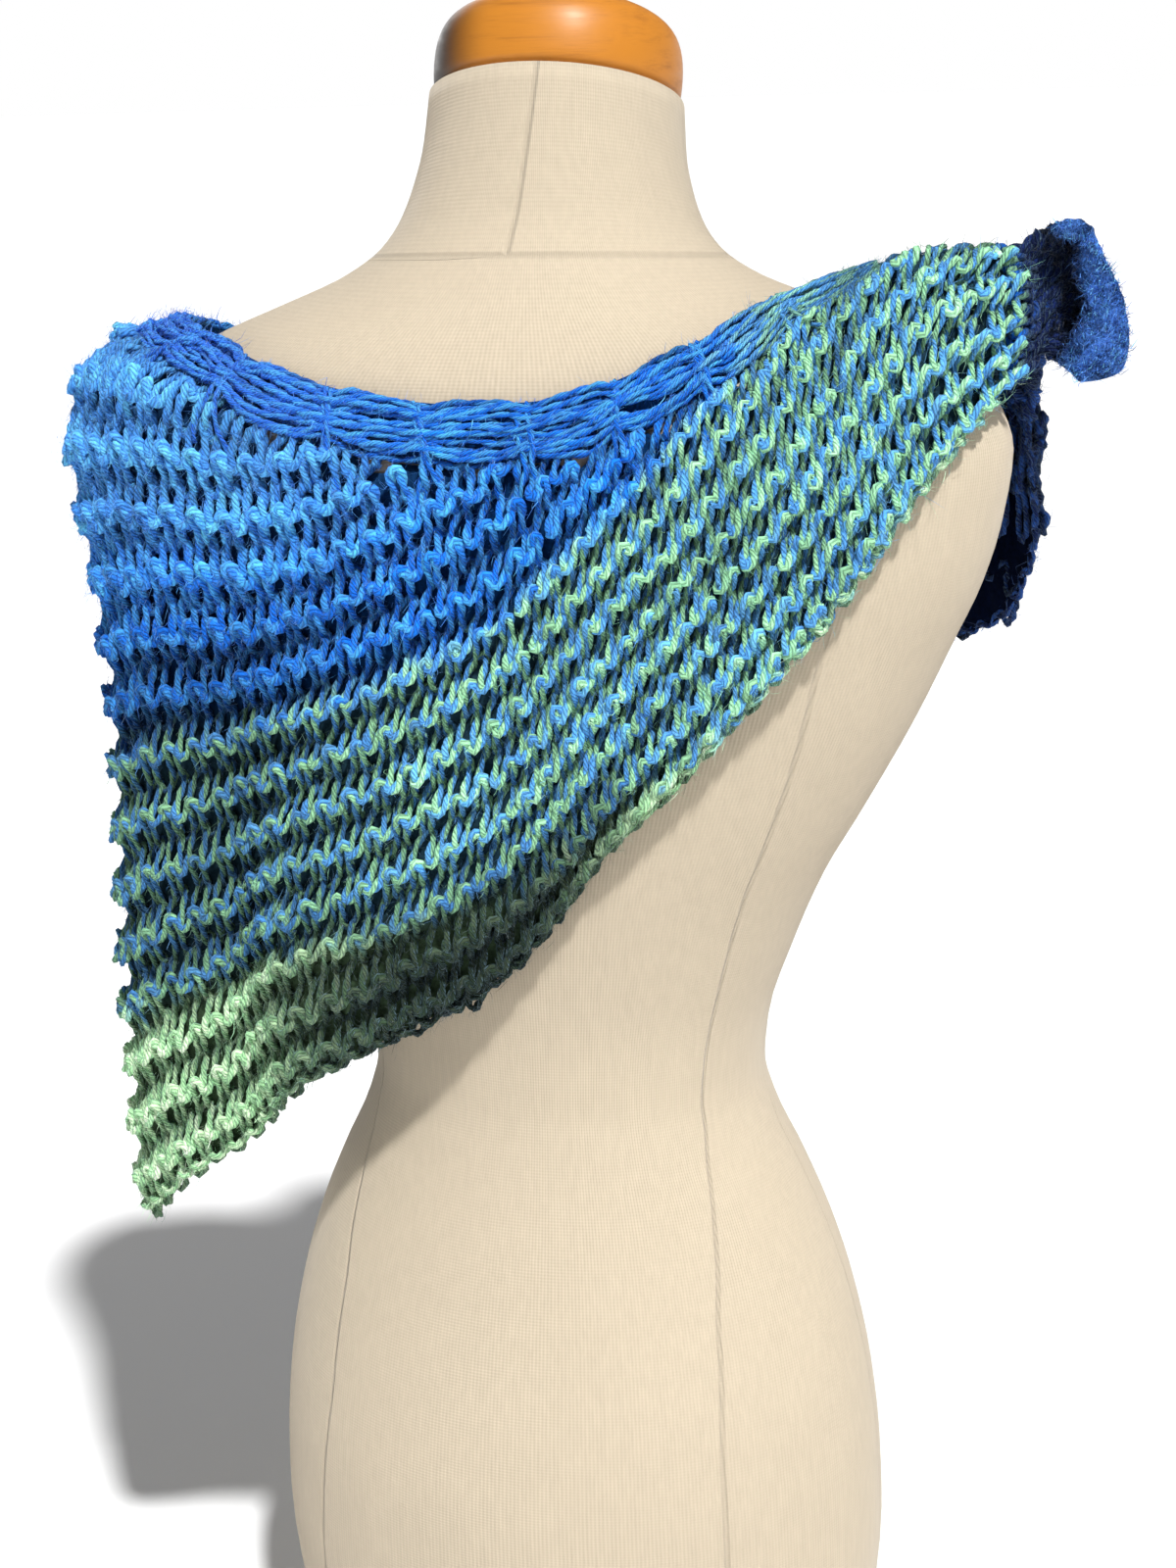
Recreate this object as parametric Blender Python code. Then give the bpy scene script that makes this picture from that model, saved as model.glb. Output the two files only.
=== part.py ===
# A knit shawl worn by a limbless dress form, tied on the form's right shoulder.
# The back, which the photograph shows, faces -Y; the form's right side is +X.
# The origin is the centre of the form's flat underside. Metres, +Z up.

import math

import bmesh
import bpy
import numpy as np

NAME = "knit_shawl_on_dress_form"

# Dress form, from the base to the tilted top of the neck. Tilt is in degrees,
# forward.
FORM_COLUMNS = ("z", "half_width", "back", "front", "centre_y", "tilt")
FORM_SECTIONS = (
    (0.000, 0.1494, 0.104, 0.100, 0.000, 0),
    (0.060, 0.1573, 0.113, 0.106, 0.000, 0),
    (0.130, 0.1630, 0.121, 0.110, 0.000, 0),
    (0.170, 0.1615, 0.121, 0.112, 0.000, 0),
    (0.214, 0.1567, 0.116, 0.111, 0.000, 0),
    (0.260, 0.1471, 0.106, 0.107, 0.000, 0),
    (0.298, 0.1350, 0.096, 0.101, 0.000, 0),
    (0.330, 0.1214, 0.087, 0.094, 0.000, 0),
    (0.361, 0.1068, 0.080, 0.086, 0.000, 0),
    (0.385, 0.1007, 0.077, 0.082, 0.000, 0),
    (0.410, 0.1028, 0.077, 0.082, 0.000, 0),
    (0.453, 0.1162, 0.082, 0.090, 0.000, 0),
    (0.490, 0.1315, 0.088, 0.102, 0.000, 0),
    (0.524, 0.1505, 0.093, 0.116, 0.000, 0),
    (0.568, 0.1739, 0.098, 0.130, 0.000, 0),
    (0.608, 0.1922, 0.101, 0.134, 0.000, 0),
    (0.636, 0.2046, 0.102, 0.126, 0.000, 0),
    (0.665, 0.2128, 0.101, 0.112, 0.000, 0),
    (0.697, 0.2170, 0.097, 0.096, 0.000, 0),
    (0.718, 0.2102, 0.092, 0.086, 0.000, 0),
    (0.735, 0.1933, 0.086, 0.079, 0.000, 0),
    (0.750, 0.1640, 0.079, 0.073, 0.000, 0),
    (0.765, 0.1269, 0.071, 0.068, 0.001, 0),
    (0.777, 0.0978, 0.063, 0.064, 0.003, 3),
    (0.788, 0.0810, 0.057, 0.062, 0.006, 6),
    (0.800, 0.0719, 0.053, 0.060, 0.010, 10),
    (0.815, 0.0659, 0.052, 0.058, 0.015, 14),
    (0.830, 0.0622, 0.052, 0.056, 0.020, 17),
    (0.853, 0.0600, 0.053, 0.055, 0.027, 20),
)
FORM_LEVELS = 44
FORM_ROUND = 72
BASE_EDGE = 0.004

# Turned wooden cap on the neck, as height above the neck and the plan's scale.
CAP_COLUMNS = ("height", "scale")
CAP_SECTIONS = (
    (0.0003, 0.0565),
    (0.0030, 0.0585),
    (0.0180, 0.0592),
    (0.0290, 0.0572),
    (0.0360, 0.0520),
    (0.0405, 0.0420),
    (0.0425, 0.0260),
)
CAP_DEPTH = 0.95
CAP_ROUND = 48

# Shawl, one row a station from the knot round the back, over the left shoulder
# and across the front to the knot again. Each row has the inner face's neckline
# edge, the turn below it and the hem, then the garter ridges counted from the
# back hem: at the hem and at the neckline.
SHAWL_COLUMNS = (
    "neck_x", "neck_y", "neck_z",
    "turn_x", "turn_y", "turn_z",
    "hem_x", "hem_y", "hem_z",
    "hem_ridge", "neck_ridge",
)
SHAWL_STATIONS = (
    (0.211, -0.015, 0.789, 0.216, -0.018, 0.762, 0.211, -0.014, 0.733, 0.0, 4.8),
    (0.186, -0.029, 0.789, 0.195, -0.042, 0.756, 0.199, -0.034, 0.716, 0.0, 4.8),
    (0.163, -0.037, 0.785, 0.172, -0.056, 0.747, 0.186, -0.053, 0.699, 0.0, 5.0),
    (0.140, -0.043, 0.779, 0.150, -0.064, 0.740, 0.168, -0.066, 0.672, 0.0, 5.5),
    (0.117, -0.048, 0.771, 0.128, -0.070, 0.733, 0.150, -0.076, 0.645, 0.0, 6.2),
    (0.100, -0.056, 0.762, 0.108, -0.076, 0.722, 0.131, -0.084, 0.620, 0.0, 7.0),
    (0.080, -0.069, 0.752, 0.085, -0.084, 0.710, 0.106, -0.092, 0.590, 0.0, 7.9),
    (0.058, -0.079, 0.742, 0.060, -0.090, 0.700, 0.078, -0.099, 0.557, 0.0, 8.7),
    (0.036, -0.085, 0.734, 0.036, -0.095, 0.690, 0.046, -0.104, 0.523, 0.0, 9.5),
    (0.010, -0.088, 0.730, 0.010, -0.097, 0.686, 0.014, -0.107, 0.482, 0.0, 10.4),
    (-0.020, -0.089, 0.729, -0.021, -0.097, 0.686, -0.024, -0.107, 0.452, 0.0, 11.2),
    (-0.052, -0.086, 0.731, -0.054, -0.094, 0.691, -0.064, -0.103, 0.430, 0.0, 12.0),
    (-0.086, -0.077, 0.736, -0.092, -0.086, 0.701, -0.106, -0.095, 0.404, 0.0, 12.8),
    (-0.118, -0.062, 0.743, -0.138, -0.078, 0.714, -0.143, -0.085, 0.374, 0.0, 13.4),
    (-0.146, -0.044, 0.750, -0.178, -0.062, 0.728, -0.178, -0.070, 0.338, 0.0, 13.9),
    (-0.166, -0.024, 0.753, -0.207, -0.038, 0.735, -0.206, -0.045, 0.301, 0.0, 14.3),
    (-0.178, 0.000, 0.753, -0.221, -0.004, 0.736, -0.222, -0.010, 0.309, 0.5, 14.6),
    (-0.176, 0.026, 0.749, -0.218, 0.034, 0.731, -0.226, 0.026, 0.352, 2.4, 15.0),
    (-0.160, 0.048, 0.743, -0.197, 0.064, 0.722, -0.212, 0.060, 0.396, 4.6, 15.4),
    (-0.134, 0.066, 0.735, -0.160, 0.086, 0.708, -0.182, 0.090, 0.438, 6.6, 15.9),
    (-0.102, 0.078, 0.727, -0.116, 0.101, 0.692, -0.140, 0.113, 0.470, 8.3, 16.4),
    (-0.066, 0.086, 0.720, -0.074, 0.111, 0.680, -0.094, 0.127, 0.496, 9.8, 16.9),
    (-0.028, 0.091, 0.716, -0.030, 0.117, 0.672, -0.046, 0.134, 0.519, 11.1, 17.4),
    (0.012, 0.092, 0.716, 0.014, 0.118, 0.671, 0.004, 0.136, 0.539, 12.3, 17.8),
    (0.052, 0.089, 0.720, 0.056, 0.113, 0.676, 0.056, 0.131, 0.556, 13.4, 18.2),
    (0.092, 0.082, 0.729, 0.099, 0.103, 0.688, 0.110, 0.119, 0.570, 14.4, 18.6),
    (0.128, 0.071, 0.740, 0.140, 0.090, 0.702, 0.162, 0.100, 0.583, 15.4, 19.0),
    (0.162, 0.058, 0.752, 0.186, 0.074, 0.716, 0.206, 0.074, 0.600, 16.4, 19.3),
    (0.190, 0.042, 0.763, 0.218, 0.048, 0.728, 0.224, 0.049, 0.648, 17.4, 19.6),
    (0.206, 0.027, 0.771, 0.222, 0.027, 0.750, 0.219, 0.029, 0.714, 18.6, 20.0),
)

# Folds of the hanging part: station, half width in stations, depth (+ is out),
# drift along the shawl from top to hem, then the shares of the height where the
# fold starts, is full, begins to fade and is gone.
FOLD_COLUMNS = (
    "station", "spread", "depth", "drift", "starts", "full", "fades", "gone",
)
FOLDS = (
    (16.3, 1.90, 0.014, 0.0, 0.06, 0.20, 0.22, 0.50),
    (13.1, 0.75, -0.012, 0.4, 0.10, 0.60, 1.10, 1.20),
    (14.7, 0.90, 0.010, 0.2, 0.30, 0.90, 1.10, 1.20),
    (11.8, 0.80, 0.006, 0.4, 0.30, 0.90, 1.10, 1.20),
    (9.0, 1.10, -0.005, 0.0, 0.40, 1.00, 1.10, 1.20),
    (17.6, 0.80, -0.012, 0.0, 0.20, 0.90, 1.10, 1.20),
    (19.0, 0.90, 0.012, -0.4, 0.30, 0.90, 1.10, 1.20),
    (20.9, 0.80, -0.008, -1.2, 0.30, 0.90, 1.10, 1.20),
    (22.8, 0.80, 0.009, -2.2, 0.20, 0.70, 1.10, 1.20),
    (24.8, 0.70, -0.006, -2.6, 0.15, 0.60, 1.10, 1.20),
    (26.4, 0.70, 0.006, -2.6, 0.10, 0.50, 0.80, 1.10),
)
# Where the back hem curls in toward the form: station, spread, how far in.
HEM_CURLS = (
    (8.6, 2.4, 0.010),
    (11.4, 1.6, 0.008),
)

WALL = 0.0042
RIDGE = 0.0026
CLEARANCE = 0.0009
BORDER_WIDTH = 0.028
BORDER_THICK = 0.0068
BORDER_STRANDS = 4
BORDER_GROOVE = 0.0018
TIE_SPACING = 0.055
TIE_PINCH = 0.16
EYELET = 0.0055
SEAM_GAP = 0.0003
COLUMN_STEP = 0.0125
INNER_STEP = 0.022
# Where the shawl is parted into the stretches that show, as station numbers.
STRETCHES = (("back", 0.0, 14.5), ("side", 14.5, 19.5), ("front", 19.5, 29.0))

# Knot on the right shoulder: y, then half width, half height, centre x and z.
KNOT_COLUMNS = ("y", "half_x", "half_z", "centre_x", "centre_z")
KNOT_SECTIONS = (
    (0.0265, 0.0060, 0.0170, 0.2150, 0.747),
    (0.0235, 0.0105, 0.0230, 0.2145, 0.749),
    (0.0185, 0.0125, 0.0245, 0.2140, 0.751),
    (0.0140, 0.0115, 0.0235, 0.2145, 0.753),
    (0.0090, 0.0130, 0.0255, 0.2150, 0.755),
    (0.0030, 0.0120, 0.0245, 0.2160, 0.757),
    (-0.0030, 0.0095, 0.0215, 0.2175, 0.758),
    (-0.0080, 0.0050, 0.0130, 0.2185, 0.758),
)
KNOT_ROUND = 28
KNOT_STRANDS = 7
KNOT_GROOVE = 0.0011

# Flared end past the knot, from its top edge round to its bottom edge. Each row
# runs from the root at the knot, by the hollow and the lip, to the rim.
END_COLUMNS = (
    "root_x", "root_y", "root_z",
    "hollow_x", "hollow_y", "hollow_z",
    "lip_x", "lip_y", "lip_z",
    "rim_x", "rim_y", "rim_z",
)
END_ROWS = (
    (0.2184, 0.000, 0.788, 0.227, 0.004, 0.795, 0.233, -0.008, 0.799, 0.239, -0.006, 0.800),
    (0.2277, 0.010, 0.784, 0.235, 0.018, 0.788, 0.242, 0.004, 0.793, 0.250, 0.002, 0.790),
    (0.2307, 0.013, 0.774, 0.240, 0.022, 0.774, 0.248, 0.000, 0.778, 0.259, 0.002, 0.773),
    (0.2311, 0.012, 0.763, 0.241, 0.020, 0.760, 0.250, -0.008, 0.761, 0.266, -0.006, 0.753),
    (0.2306, 0.008, 0.752, 0.239, 0.010, 0.747, 0.249, -0.015, 0.745, 0.265, -0.014, 0.736),
    (0.2291, 0.002, 0.744, 0.234, 0.000, 0.738, 0.241, -0.019, 0.736, 0.249, -0.022, 0.727),
)
END_THICK = 0.005
END_ROUND = 22
END_ALONG = 12

JERSEY = (0.80, 0.70, 0.55, 1.0)
WOOD = (0.45, 0.20, 0.06, 1.0)
BLUE = (0.05, 0.16, 0.60, 1.0)
MARL = (0.10, 0.36, 0.48, 1.0)
NAVY = (0.02, 0.05, 0.25, 1.0)


def clear_scene():
    for found in list(bpy.data.objects):
        bpy.data.objects.remove(found)


def material(name, colour, roughness):
    made = bpy.data.materials.new(name)
    made.use_nodes = True
    shader = made.node_tree.nodes["Principled BSDF"]
    shader.inputs["Base Color"].default_value = colour
    shader.inputs["Roughness"].default_value = roughness
    return made


def add_object(name, points, faces, look, collection):
    mesh = bpy.data.meshes.new(name)
    mesh.from_pydata([tuple(map(float, p)) for p in points], [], faces)
    mesh.validate()
    shape = bmesh.new()
    shape.from_mesh(mesh)
    bmesh.ops.recalc_face_normals(shape, faces=shape.faces)
    bmesh.ops.triangulate(shape, faces=shape.faces)
    shape.to_mesh(mesh)
    shape.free()
    mesh.materials.append(look)
    made = bpy.data.objects.new(name, mesh)
    collection.objects.link(made)
    return made


def smooth_through(xs, ys, at):
    """A cubic through the points that doesn't overshoot. ys may have columns."""
    xs = np.asarray(xs, float)
    ys = np.asarray(ys, float)
    flat = ys.ndim == 1
    if flat:
        ys = ys[:, None]
    step = np.diff(xs)[:, None]
    rise = np.diff(ys, axis=0) / step
    slope = np.zeros_like(ys)
    same_way = rise[:-1] * rise[1:] > 0
    before = 2 * step[1:] + step[:-1]
    after = step[1:] + 2 * step[:-1]
    safe_before = np.where(same_way, rise[:-1], 1.0)
    safe_after = np.where(same_way, rise[1:], 1.0)
    mean = (before + after) / (before / safe_before + after / safe_after)
    slope[1:-1] = np.where(same_way, mean, 0.0)
    slope[0] = rise[0]
    slope[-1] = rise[-1]
    at = np.clip(np.asarray(at, float), xs[0], xs[-1])
    cell = np.clip(np.searchsorted(xs, at) - 1, 0, len(xs) - 2)
    wide = step[cell]
    t = (at - xs[cell])[..., None] / wide
    out = (1 + 2 * t) * (1 - t) ** 2 * ys[cell]
    out = out + t * (1 - t) ** 2 * wide * slope[cell]
    out = out + t * t * (3 - 2 * t) * ys[cell + 1]
    out = out + t * t * (t - 1) * wide * slope[cell + 1]
    return out[..., 0] if flat else out


def ease(low, high, value):
    t = np.clip((value - low) / (high - low), 0.0, 1.0)
    return t * t * (3 - 2 * t)


def form_at(z):
    """The form's section sizes at each height: one column a size."""
    table = np.array(FORM_SECTIONS)
    return smooth_through(table[:, 0], table[:, 1:], z)


def form_ring(z, count):
    wide, back, front, centre, tilt = form_at(np.array([z]))[0]
    turn = np.linspace(0, 2 * math.pi, count, endpoint=False)
    deep = np.where(np.sin(turn) > 0, front, back)
    y = deep * np.sin(turn)
    lift = -y * math.tan(math.radians(tilt))
    return np.stack([wide * np.cos(turn), centre + y, z + lift], axis=1)


def loft(rings):
    """Points and faces of a closed loft through rings of the same count."""
    count = len(rings[0])
    points = np.concatenate(rings)
    faces = []
    for level in range(len(rings) - 1):
        low = level * count
        high = low + count
        for i in range(count):
            j = (i + 1) % count
            faces.append((low + i, low + j, high + j, high + i))
    faces.append(tuple(range(count))[::-1])
    faces.append(tuple(range(len(points) - count, len(points))))
    return points, faces


def form_body(look, collection):
    table = np.array(FORM_SECTIONS)
    top = table[-1, 0]
    heights = np.interp(
        np.linspace(0, len(table) - 1, FORM_LEVELS),
        np.arange(len(table)),
        table[:, 0],
    )
    heights[-1] = top
    rings = [form_ring(z, FORM_ROUND) for z in heights]
    foot = rings[0].copy()
    foot[:, :2] *= 1 - BASE_EDGE / 0.12
    rings[0][:, 2] += BASE_EDGE
    return add_object("form_body", *loft([foot] + rings), look, collection)


def neck_cap(look, collection):
    wide, back, front, centre, tilt = form_at(np.array([FORM_SECTIONS[-1][0]]))[0]
    lean = math.radians(tilt)
    turn = np.linspace(0, 2 * math.pi, CAP_ROUND, endpoint=False)
    rings = []
    for height, scale in CAP_SECTIONS:
        x = scale * np.cos(turn)
        along = scale * CAP_DEPTH * np.sin(turn)
        y = centre + along * math.cos(lean) + height * math.sin(lean)
        z = FORM_SECTIONS[-1][0] - along * math.sin(lean) + height * math.cos(lean)
        rings.append(np.stack([x, y, z], axis=1))
    return add_object("neck_cap", *loft(rings), look, collection)


def tied(along):
    """1 at each tie of the neckline edge, 0 midway between two of them."""
    return 0.5 + 0.5 * math.cos(2 * math.pi * along / TIE_SPACING)


class Drape:
    """The shawl's inner face as a fine grid: columns along it, rows down it."""

    columns = 581
    rows = 121

    def __init__(self):
        table = np.array(SHAWL_STATIONS)
        last = len(table) - 1
        self.station = np.linspace(0, last, self.columns)
        row = smooth_through(np.arange(last + 1), table, self.station)
        self.hem_ridge = row[:, 9]
        self.neck_ridge = row[:, 10]
        neck, turn, hem = row[:, 0:3], row[:, 3:6], row[:, 6:9]
        share = np.linspace(0, 1, 61)
        self.points = np.zeros((self.columns, self.rows, 3))
        reach = self.hull_table()
        for i in range(self.columns):
            first = np.linalg.norm(turn[i] - neck[i])
            second = np.linalg.norm(hem[i] - turn[i])
            at = (0.0, first / (first + second), 1.0)
            path = smooth_through(at, np.array([neck[i], turn[i], hem[i]]), share)
            path = self.draped(path, reach)
            path = self.folded(path, self.station[i], share)
            self.points[i] = self.even(path)
        self.clear_of_form()
        for i in range(self.columns):
            self.points[i] = self.even(self.points[i])
        self.measure()

    def hull_table(self):
        """The form's radius by angle and height, each the most of all above."""
        self.angles = np.linspace(0, 2 * math.pi, 241)
        self.heights = np.linspace(0.25, 0.80, 221)
        sizes = form_at(self.heights)
        sine = np.sin(self.angles)[:, None]
        deep = np.where(sine < 0, sizes[:, 1], sizes[:, 2])
        radius = 1 / np.sqrt(
            (np.cos(self.angles)[:, None] / sizes[:, 0]) ** 2 + (sine / deep) ** 2
        )
        return np.maximum.accumulate(radius[:, ::-1], axis=1)[:, ::-1]

    def draped(self, path, reach):
        """The path hangs straight down from the widest place above it."""
        radius = np.hypot(path[:, 0], path[:, 1])
        angle = np.arctan2(path[:, 1], path[:, 0]) % (2 * math.pi)
        a = angle / self.angles[1]
        h = (path[:, 2] - self.heights[0]) / (self.heights[1] - self.heights[0])
        h = np.clip(h, 0, len(self.heights) - 1.001)
        i, j = a.astype(int), h.astype(int)
        fa, fh = a - i, h - j
        low = reach[i, j] * (1 - fh) + reach[i, j + 1] * fh
        high = reach[i + 1, j] * (1 - fh) + reach[i + 1, j + 1] * fh
        least = low * (1 - fa) + high * fa + CLEARANCE
        # A soft greater-of, so that the cloth leaves the form without a crease.
        soft = 0.003
        gap = radius - least
        out = least + 0.5 * (gap + np.sqrt(gap * gap + soft * soft))
        new = path.copy()
        new[:, :2] *= (out / radius)[:, None]
        return new

    def folded(self, path, station, share):
        out = np.zeros(len(path))
        for middle, spread, depth, drift, starts, full, fades, gone in FOLDS:
            off = (station - middle - drift * (share - 0.5)) / spread
            height = ease(starts, full, share) * (1 - ease(fades, gone, share))
            out += depth * np.exp(-(off**2)) * height
        for middle, spread, inward in HEM_CURLS:
            across = math.exp(-(((station - middle) / spread) ** 2))
            out -= inward * across * ease(0.80, 1.0, share) ** 1.5
        radius = np.hypot(path[:, 0], path[:, 1])
        new = path.copy()
        new[:, :2] *= (1 + out / radius)[:, None]
        return new

    def even(self, path):
        steps = np.linalg.norm(np.diff(path, axis=0), axis=1)
        along = np.concatenate([[0], np.cumsum(steps)])
        at = np.linspace(0, along[-1], self.rows)
        return np.stack([np.interp(at, along, path[:, k]) for k in range(3)], axis=1)

    def distance(self, points):
        """How far outside the form each point is, and the way out."""
        sizes = form_at(points[..., 2])
        wide = sizes[..., 0]
        y = points[..., 1] - sizes[..., 3]
        deep = np.where(y < 0, sizes[..., 1], sizes[..., 2])
        return np.sqrt((points[..., 0] / wide) ** 2 + (y / deep) ** 2)

    def clear_of_form(self):
        step = 1e-4
        for _ in range(3):
            level = self.distance(self.points)
            slope = np.zeros_like(self.points)
            for k in range(3):
                shifted = self.points.copy()
                shifted[..., k] += step
                slope[..., k] = (self.distance(shifted) - level) / step
            size = np.linalg.norm(slope, axis=-1)
            gap = (level - 1) / size
            push = np.clip(CLEARANCE - gap, 0.0, 0.02)
            self.points += slope / size[..., None] * push[..., None]

    def measure(self):
        along = np.gradient(self.points, axis=0)
        down = np.gradient(self.points, axis=1)
        out = np.cross(down, along)
        out /= np.linalg.norm(out, axis=-1, keepdims=True)
        centre = self.points.copy()
        centre[..., 2] = 0
        if np.sum(out * centre) < 0:
            out = -out
        self.normals = out
        middle = self.points[:, self.rows // 2]
        steps = np.linalg.norm(np.diff(middle, axis=0), axis=1)
        self.along = np.concatenate([[0], np.cumsum(steps)])
        drop = np.linalg.norm(np.diff(self.points, axis=1), axis=2)
        self.drop = drop.sum(axis=1)

    def sample(self, station, share):
        """The point and the outward way at stations and shares of the height."""
        station = np.asarray(station, float) * np.ones(np.shape(share))
        a = np.clip(station / self.station[-1], 0, 1) * (self.columns - 1)
        b = np.clip(np.asarray(share, float), 0, 1) * (self.rows - 1)
        i = np.minimum(a.astype(int), self.columns - 2)
        j = np.minimum(b.astype(int), self.rows - 2)
        fa, fb = (a - i)[..., None], (b - j)[..., None]
        found = []
        for grid in (self.points, self.normals):
            low = grid[i, j] * (1 - fb) + grid[i, j + 1] * fb
            high = grid[i + 1, j] * (1 - fb) + grid[i + 1, j + 1] * fb
            found.append(low * (1 - fa) + high * fa)
        found[1] /= np.linalg.norm(found[1], axis=-1, keepdims=True)
        return found

    def at(self, values, station):
        return float(np.interp(station, self.station, values))


def zip_columns(first, first_at, second, second_at, faces):
    """Triangles between two columns of points, nearest places joined first."""
    i = 0
    j = 0
    while i < len(first) - 1 or j < len(second) - 1:
        if j == len(second) - 1:
            step_first = True
        elif i == len(first) - 1:
            step_first = False
        else:
            step_first = first_at[i + 1] + first_at[i] < second_at[j + 1] + second_at[j]
        if step_first:
            faces.append((first[i], first[i + 1], second[j]))
            i += 1
        else:
            faces.append((first[i], second[j + 1], second[j]))
            j += 1


def stretch_stations(drape, start, end):
    """Stations spaced evenly along the shawl's middle, apart at the seams."""
    low = np.interp(start, drape.station, drape.along)
    high = np.interp(end, drape.station, drape.along)
    low += SEAM_GAP / 2 if start > 0 else 0
    high -= SEAM_GAP / 2
    count = max(2, round((high - low) / COLUMN_STEP)) + 1
    return np.interp(np.linspace(low, high, count), drape.along, drape.station)


def panel(drape, name, start, end, look, collection):
    """One stretch of the garter-knit wall: ridged outside, plain inside."""
    points = []
    faces = []
    outer = []
    inner = []
    for station in stretch_stations(drape, start, end):
        length = drape.at(drape.drop, station)
        top = BORDER_WIDTH / length
        low = drape.at(drape.hem_ridge, station)
        high = drape.at(drape.neck_ridge, station)
        ridges = np.arange(math.ceil(low * 2 + 0.5) / 2, high - 0.2, 0.5)[::-1]
        share = 1 - (ridges - low) / (high - low) * (1 - top)
        open_at = 1 - tied(drape.at(drape.along, station))
        edge = top + EYELET * float(ease(0.7, 0.95, open_at)) / length
        ridges = ridges[share > edge + 0.004 / length]
        share = share[share > edge + 0.004 / length]
        share = np.concatenate([[edge], share, [1.0]])
        crest = ridges * 2 % 2
        raised = np.concatenate([[WALL * 0.8], WALL + RIDGE * crest, [WALL * 0.8]])
        place = high + (low - high) * (share - top) / (1 - top)
        where, out = drape.sample(station, share)
        first = len(points)
        points.extend(where + out * raised[:, None])
        outer.append((list(range(first, len(points))), -place))
        inside = max(2, round(length * (1 - top) / INNER_STEP)) + 1
        share = np.linspace(edge, 1.0, inside)
        where, out = drape.sample(station, share)
        first = len(points)
        points.extend(where)
        level = high + (low - high) * (share - top) / (1 - top)
        inner.append((list(range(first, len(points))), -level))
    for i in range(len(outer) - 1):
        zip_columns(*outer[i], *outer[i + 1], faces)
        inside = []
        zip_columns(*inner[i], *inner[i + 1], inside)
        faces.extend(face[::-1] for face in inside)
        for row in (0, -1):
            a, b = outer[i][0][row], outer[i + 1][0][row]
            c, d = inner[i + 1][0][row], inner[i][0][row]
            faces.append((a, b, c, d) if row == 0 else (d, c, b, a))
    for end_column in (0, -1):
        cap = []
        zip_columns(*outer[end_column], *inner[end_column], cap)
        faces.extend(cap)
    return add_object(f"shawl_{name}", points, faces, look, collection)


def border(drape, name, start, end, look, collection):
    """The neckline edge: a band of long strands, drawn in at each tie."""
    rings = []
    groove = np.linspace(0, 1, 2 * BORDER_STRANDS + 1)
    for station in stretch_stations(drape, start, end):
        length = drape.at(drape.drop, station)
        pinch = TIE_PINCH * tied(drape.at(drape.along, station)) ** 4
        band = np.linspace(pinch * 0.6, 1 - SEAM_GAP / BORDER_WIDTH, len(groove))
        share = band * BORDER_WIDTH / length
        where, out = drape.sample(station, share)
        hollow = 0.5 + 0.5 * np.cos(2 * math.pi * BORDER_STRANDS * groove)
        hollow[0] = hollow[-1] = 1.4
        high = BORDER_THICK * (1 + 0.5 * pinch) - BORDER_GROOVE * hollow
        high = np.where(hollow > 1, WALL * 0.8, high)
        inside = where[[0, len(groove) // 2, -1]]
        ring = np.concatenate([where + out * high[:, None], inside[::-1]])
        rings.append(ring)
    return add_object(f"border_{name}", *loft(rings), look, collection)


def knot(look, collection):
    turn = np.linspace(0, 2 * math.pi, KNOT_ROUND, endpoint=False)
    rings = []
    for y, half_x, half_z, centre_x, centre_z in KNOT_SECTIONS:
        dent = KNOT_GROOVE * np.cos(KNOT_STRANDS * turn + y * 200)
        x = centre_x + (half_x + dent) * np.cos(turn)
        z = centre_z + (half_z + dent) * np.sin(turn)
        rings.append(np.stack([x, y + 0 * turn, z], axis=1))
    return add_object("tie_knot", *loft(rings), look, collection)


def tie_end(look, collection):
    """The flared end: a cupped sheet with its lip turned out."""
    table = np.array(END_ROWS).reshape(len(END_ROWS), 4, 3)
    rows = np.linspace(0, len(END_ROWS) - 1, END_ROUND)
    flat = table.reshape(len(END_ROWS), 12)
    ruled = smooth_through(np.arange(len(END_ROWS)), flat, rows)
    ruled = ruled.reshape(END_ROUND, 4, 3)
    share = np.linspace(0, 3, END_ALONG)
    sheet = np.array([smooth_through(np.arange(4), r, share) for r in ruled])
    across = np.gradient(sheet, axis=0)
    outward = np.gradient(sheet, axis=1)
    normal = np.cross(across, outward)
    normal /= np.linalg.norm(normal, axis=-1, keepdims=True)
    front = sheet + normal * END_THICK / 2
    rear = sheet - normal * END_THICK / 2
    rings = []
    for i in range(END_ROUND):
        rings.append(np.concatenate([front[i], rear[i][::-1]]))
    return add_object("tie_end", *loft(rings), look, collection)


def main():
    clear_scene()
    collection = bpy.data.collections.new(NAME)
    bpy.context.scene.collection.children.link(collection)
    jersey = material("cotton_jersey", JERSEY, 0.9)
    wood = material("turned_wood", WOOD, 0.35)
    marl = material("marled_wool", MARL, 0.95)
    blue = material("blue_wool", BLUE, 0.95)
    navy = material("navy_wool", NAVY, 0.95)
    form_body(jersey, collection)
    neck_cap(wood, collection)
    drape = Drape()
    looks = {"back": marl, "side": blue, "front": navy}
    for name, start, end in STRETCHES:
        panel(drape, name, start, end, looks[name], collection)
        border(drape, name, start, end, blue, collection)
    knot(navy, collection)
    tie_end(navy, collection)


main()
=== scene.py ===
# Looks of the knit shawl on its dress form: every stitch is a loop of two-ply
# yarn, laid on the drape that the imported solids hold. Metres, +Z up, and the
# back, which the photograph shows, faces -Y.

import math

import bpy
import numpy as np
from mathutils import Matrix, Vector


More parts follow.
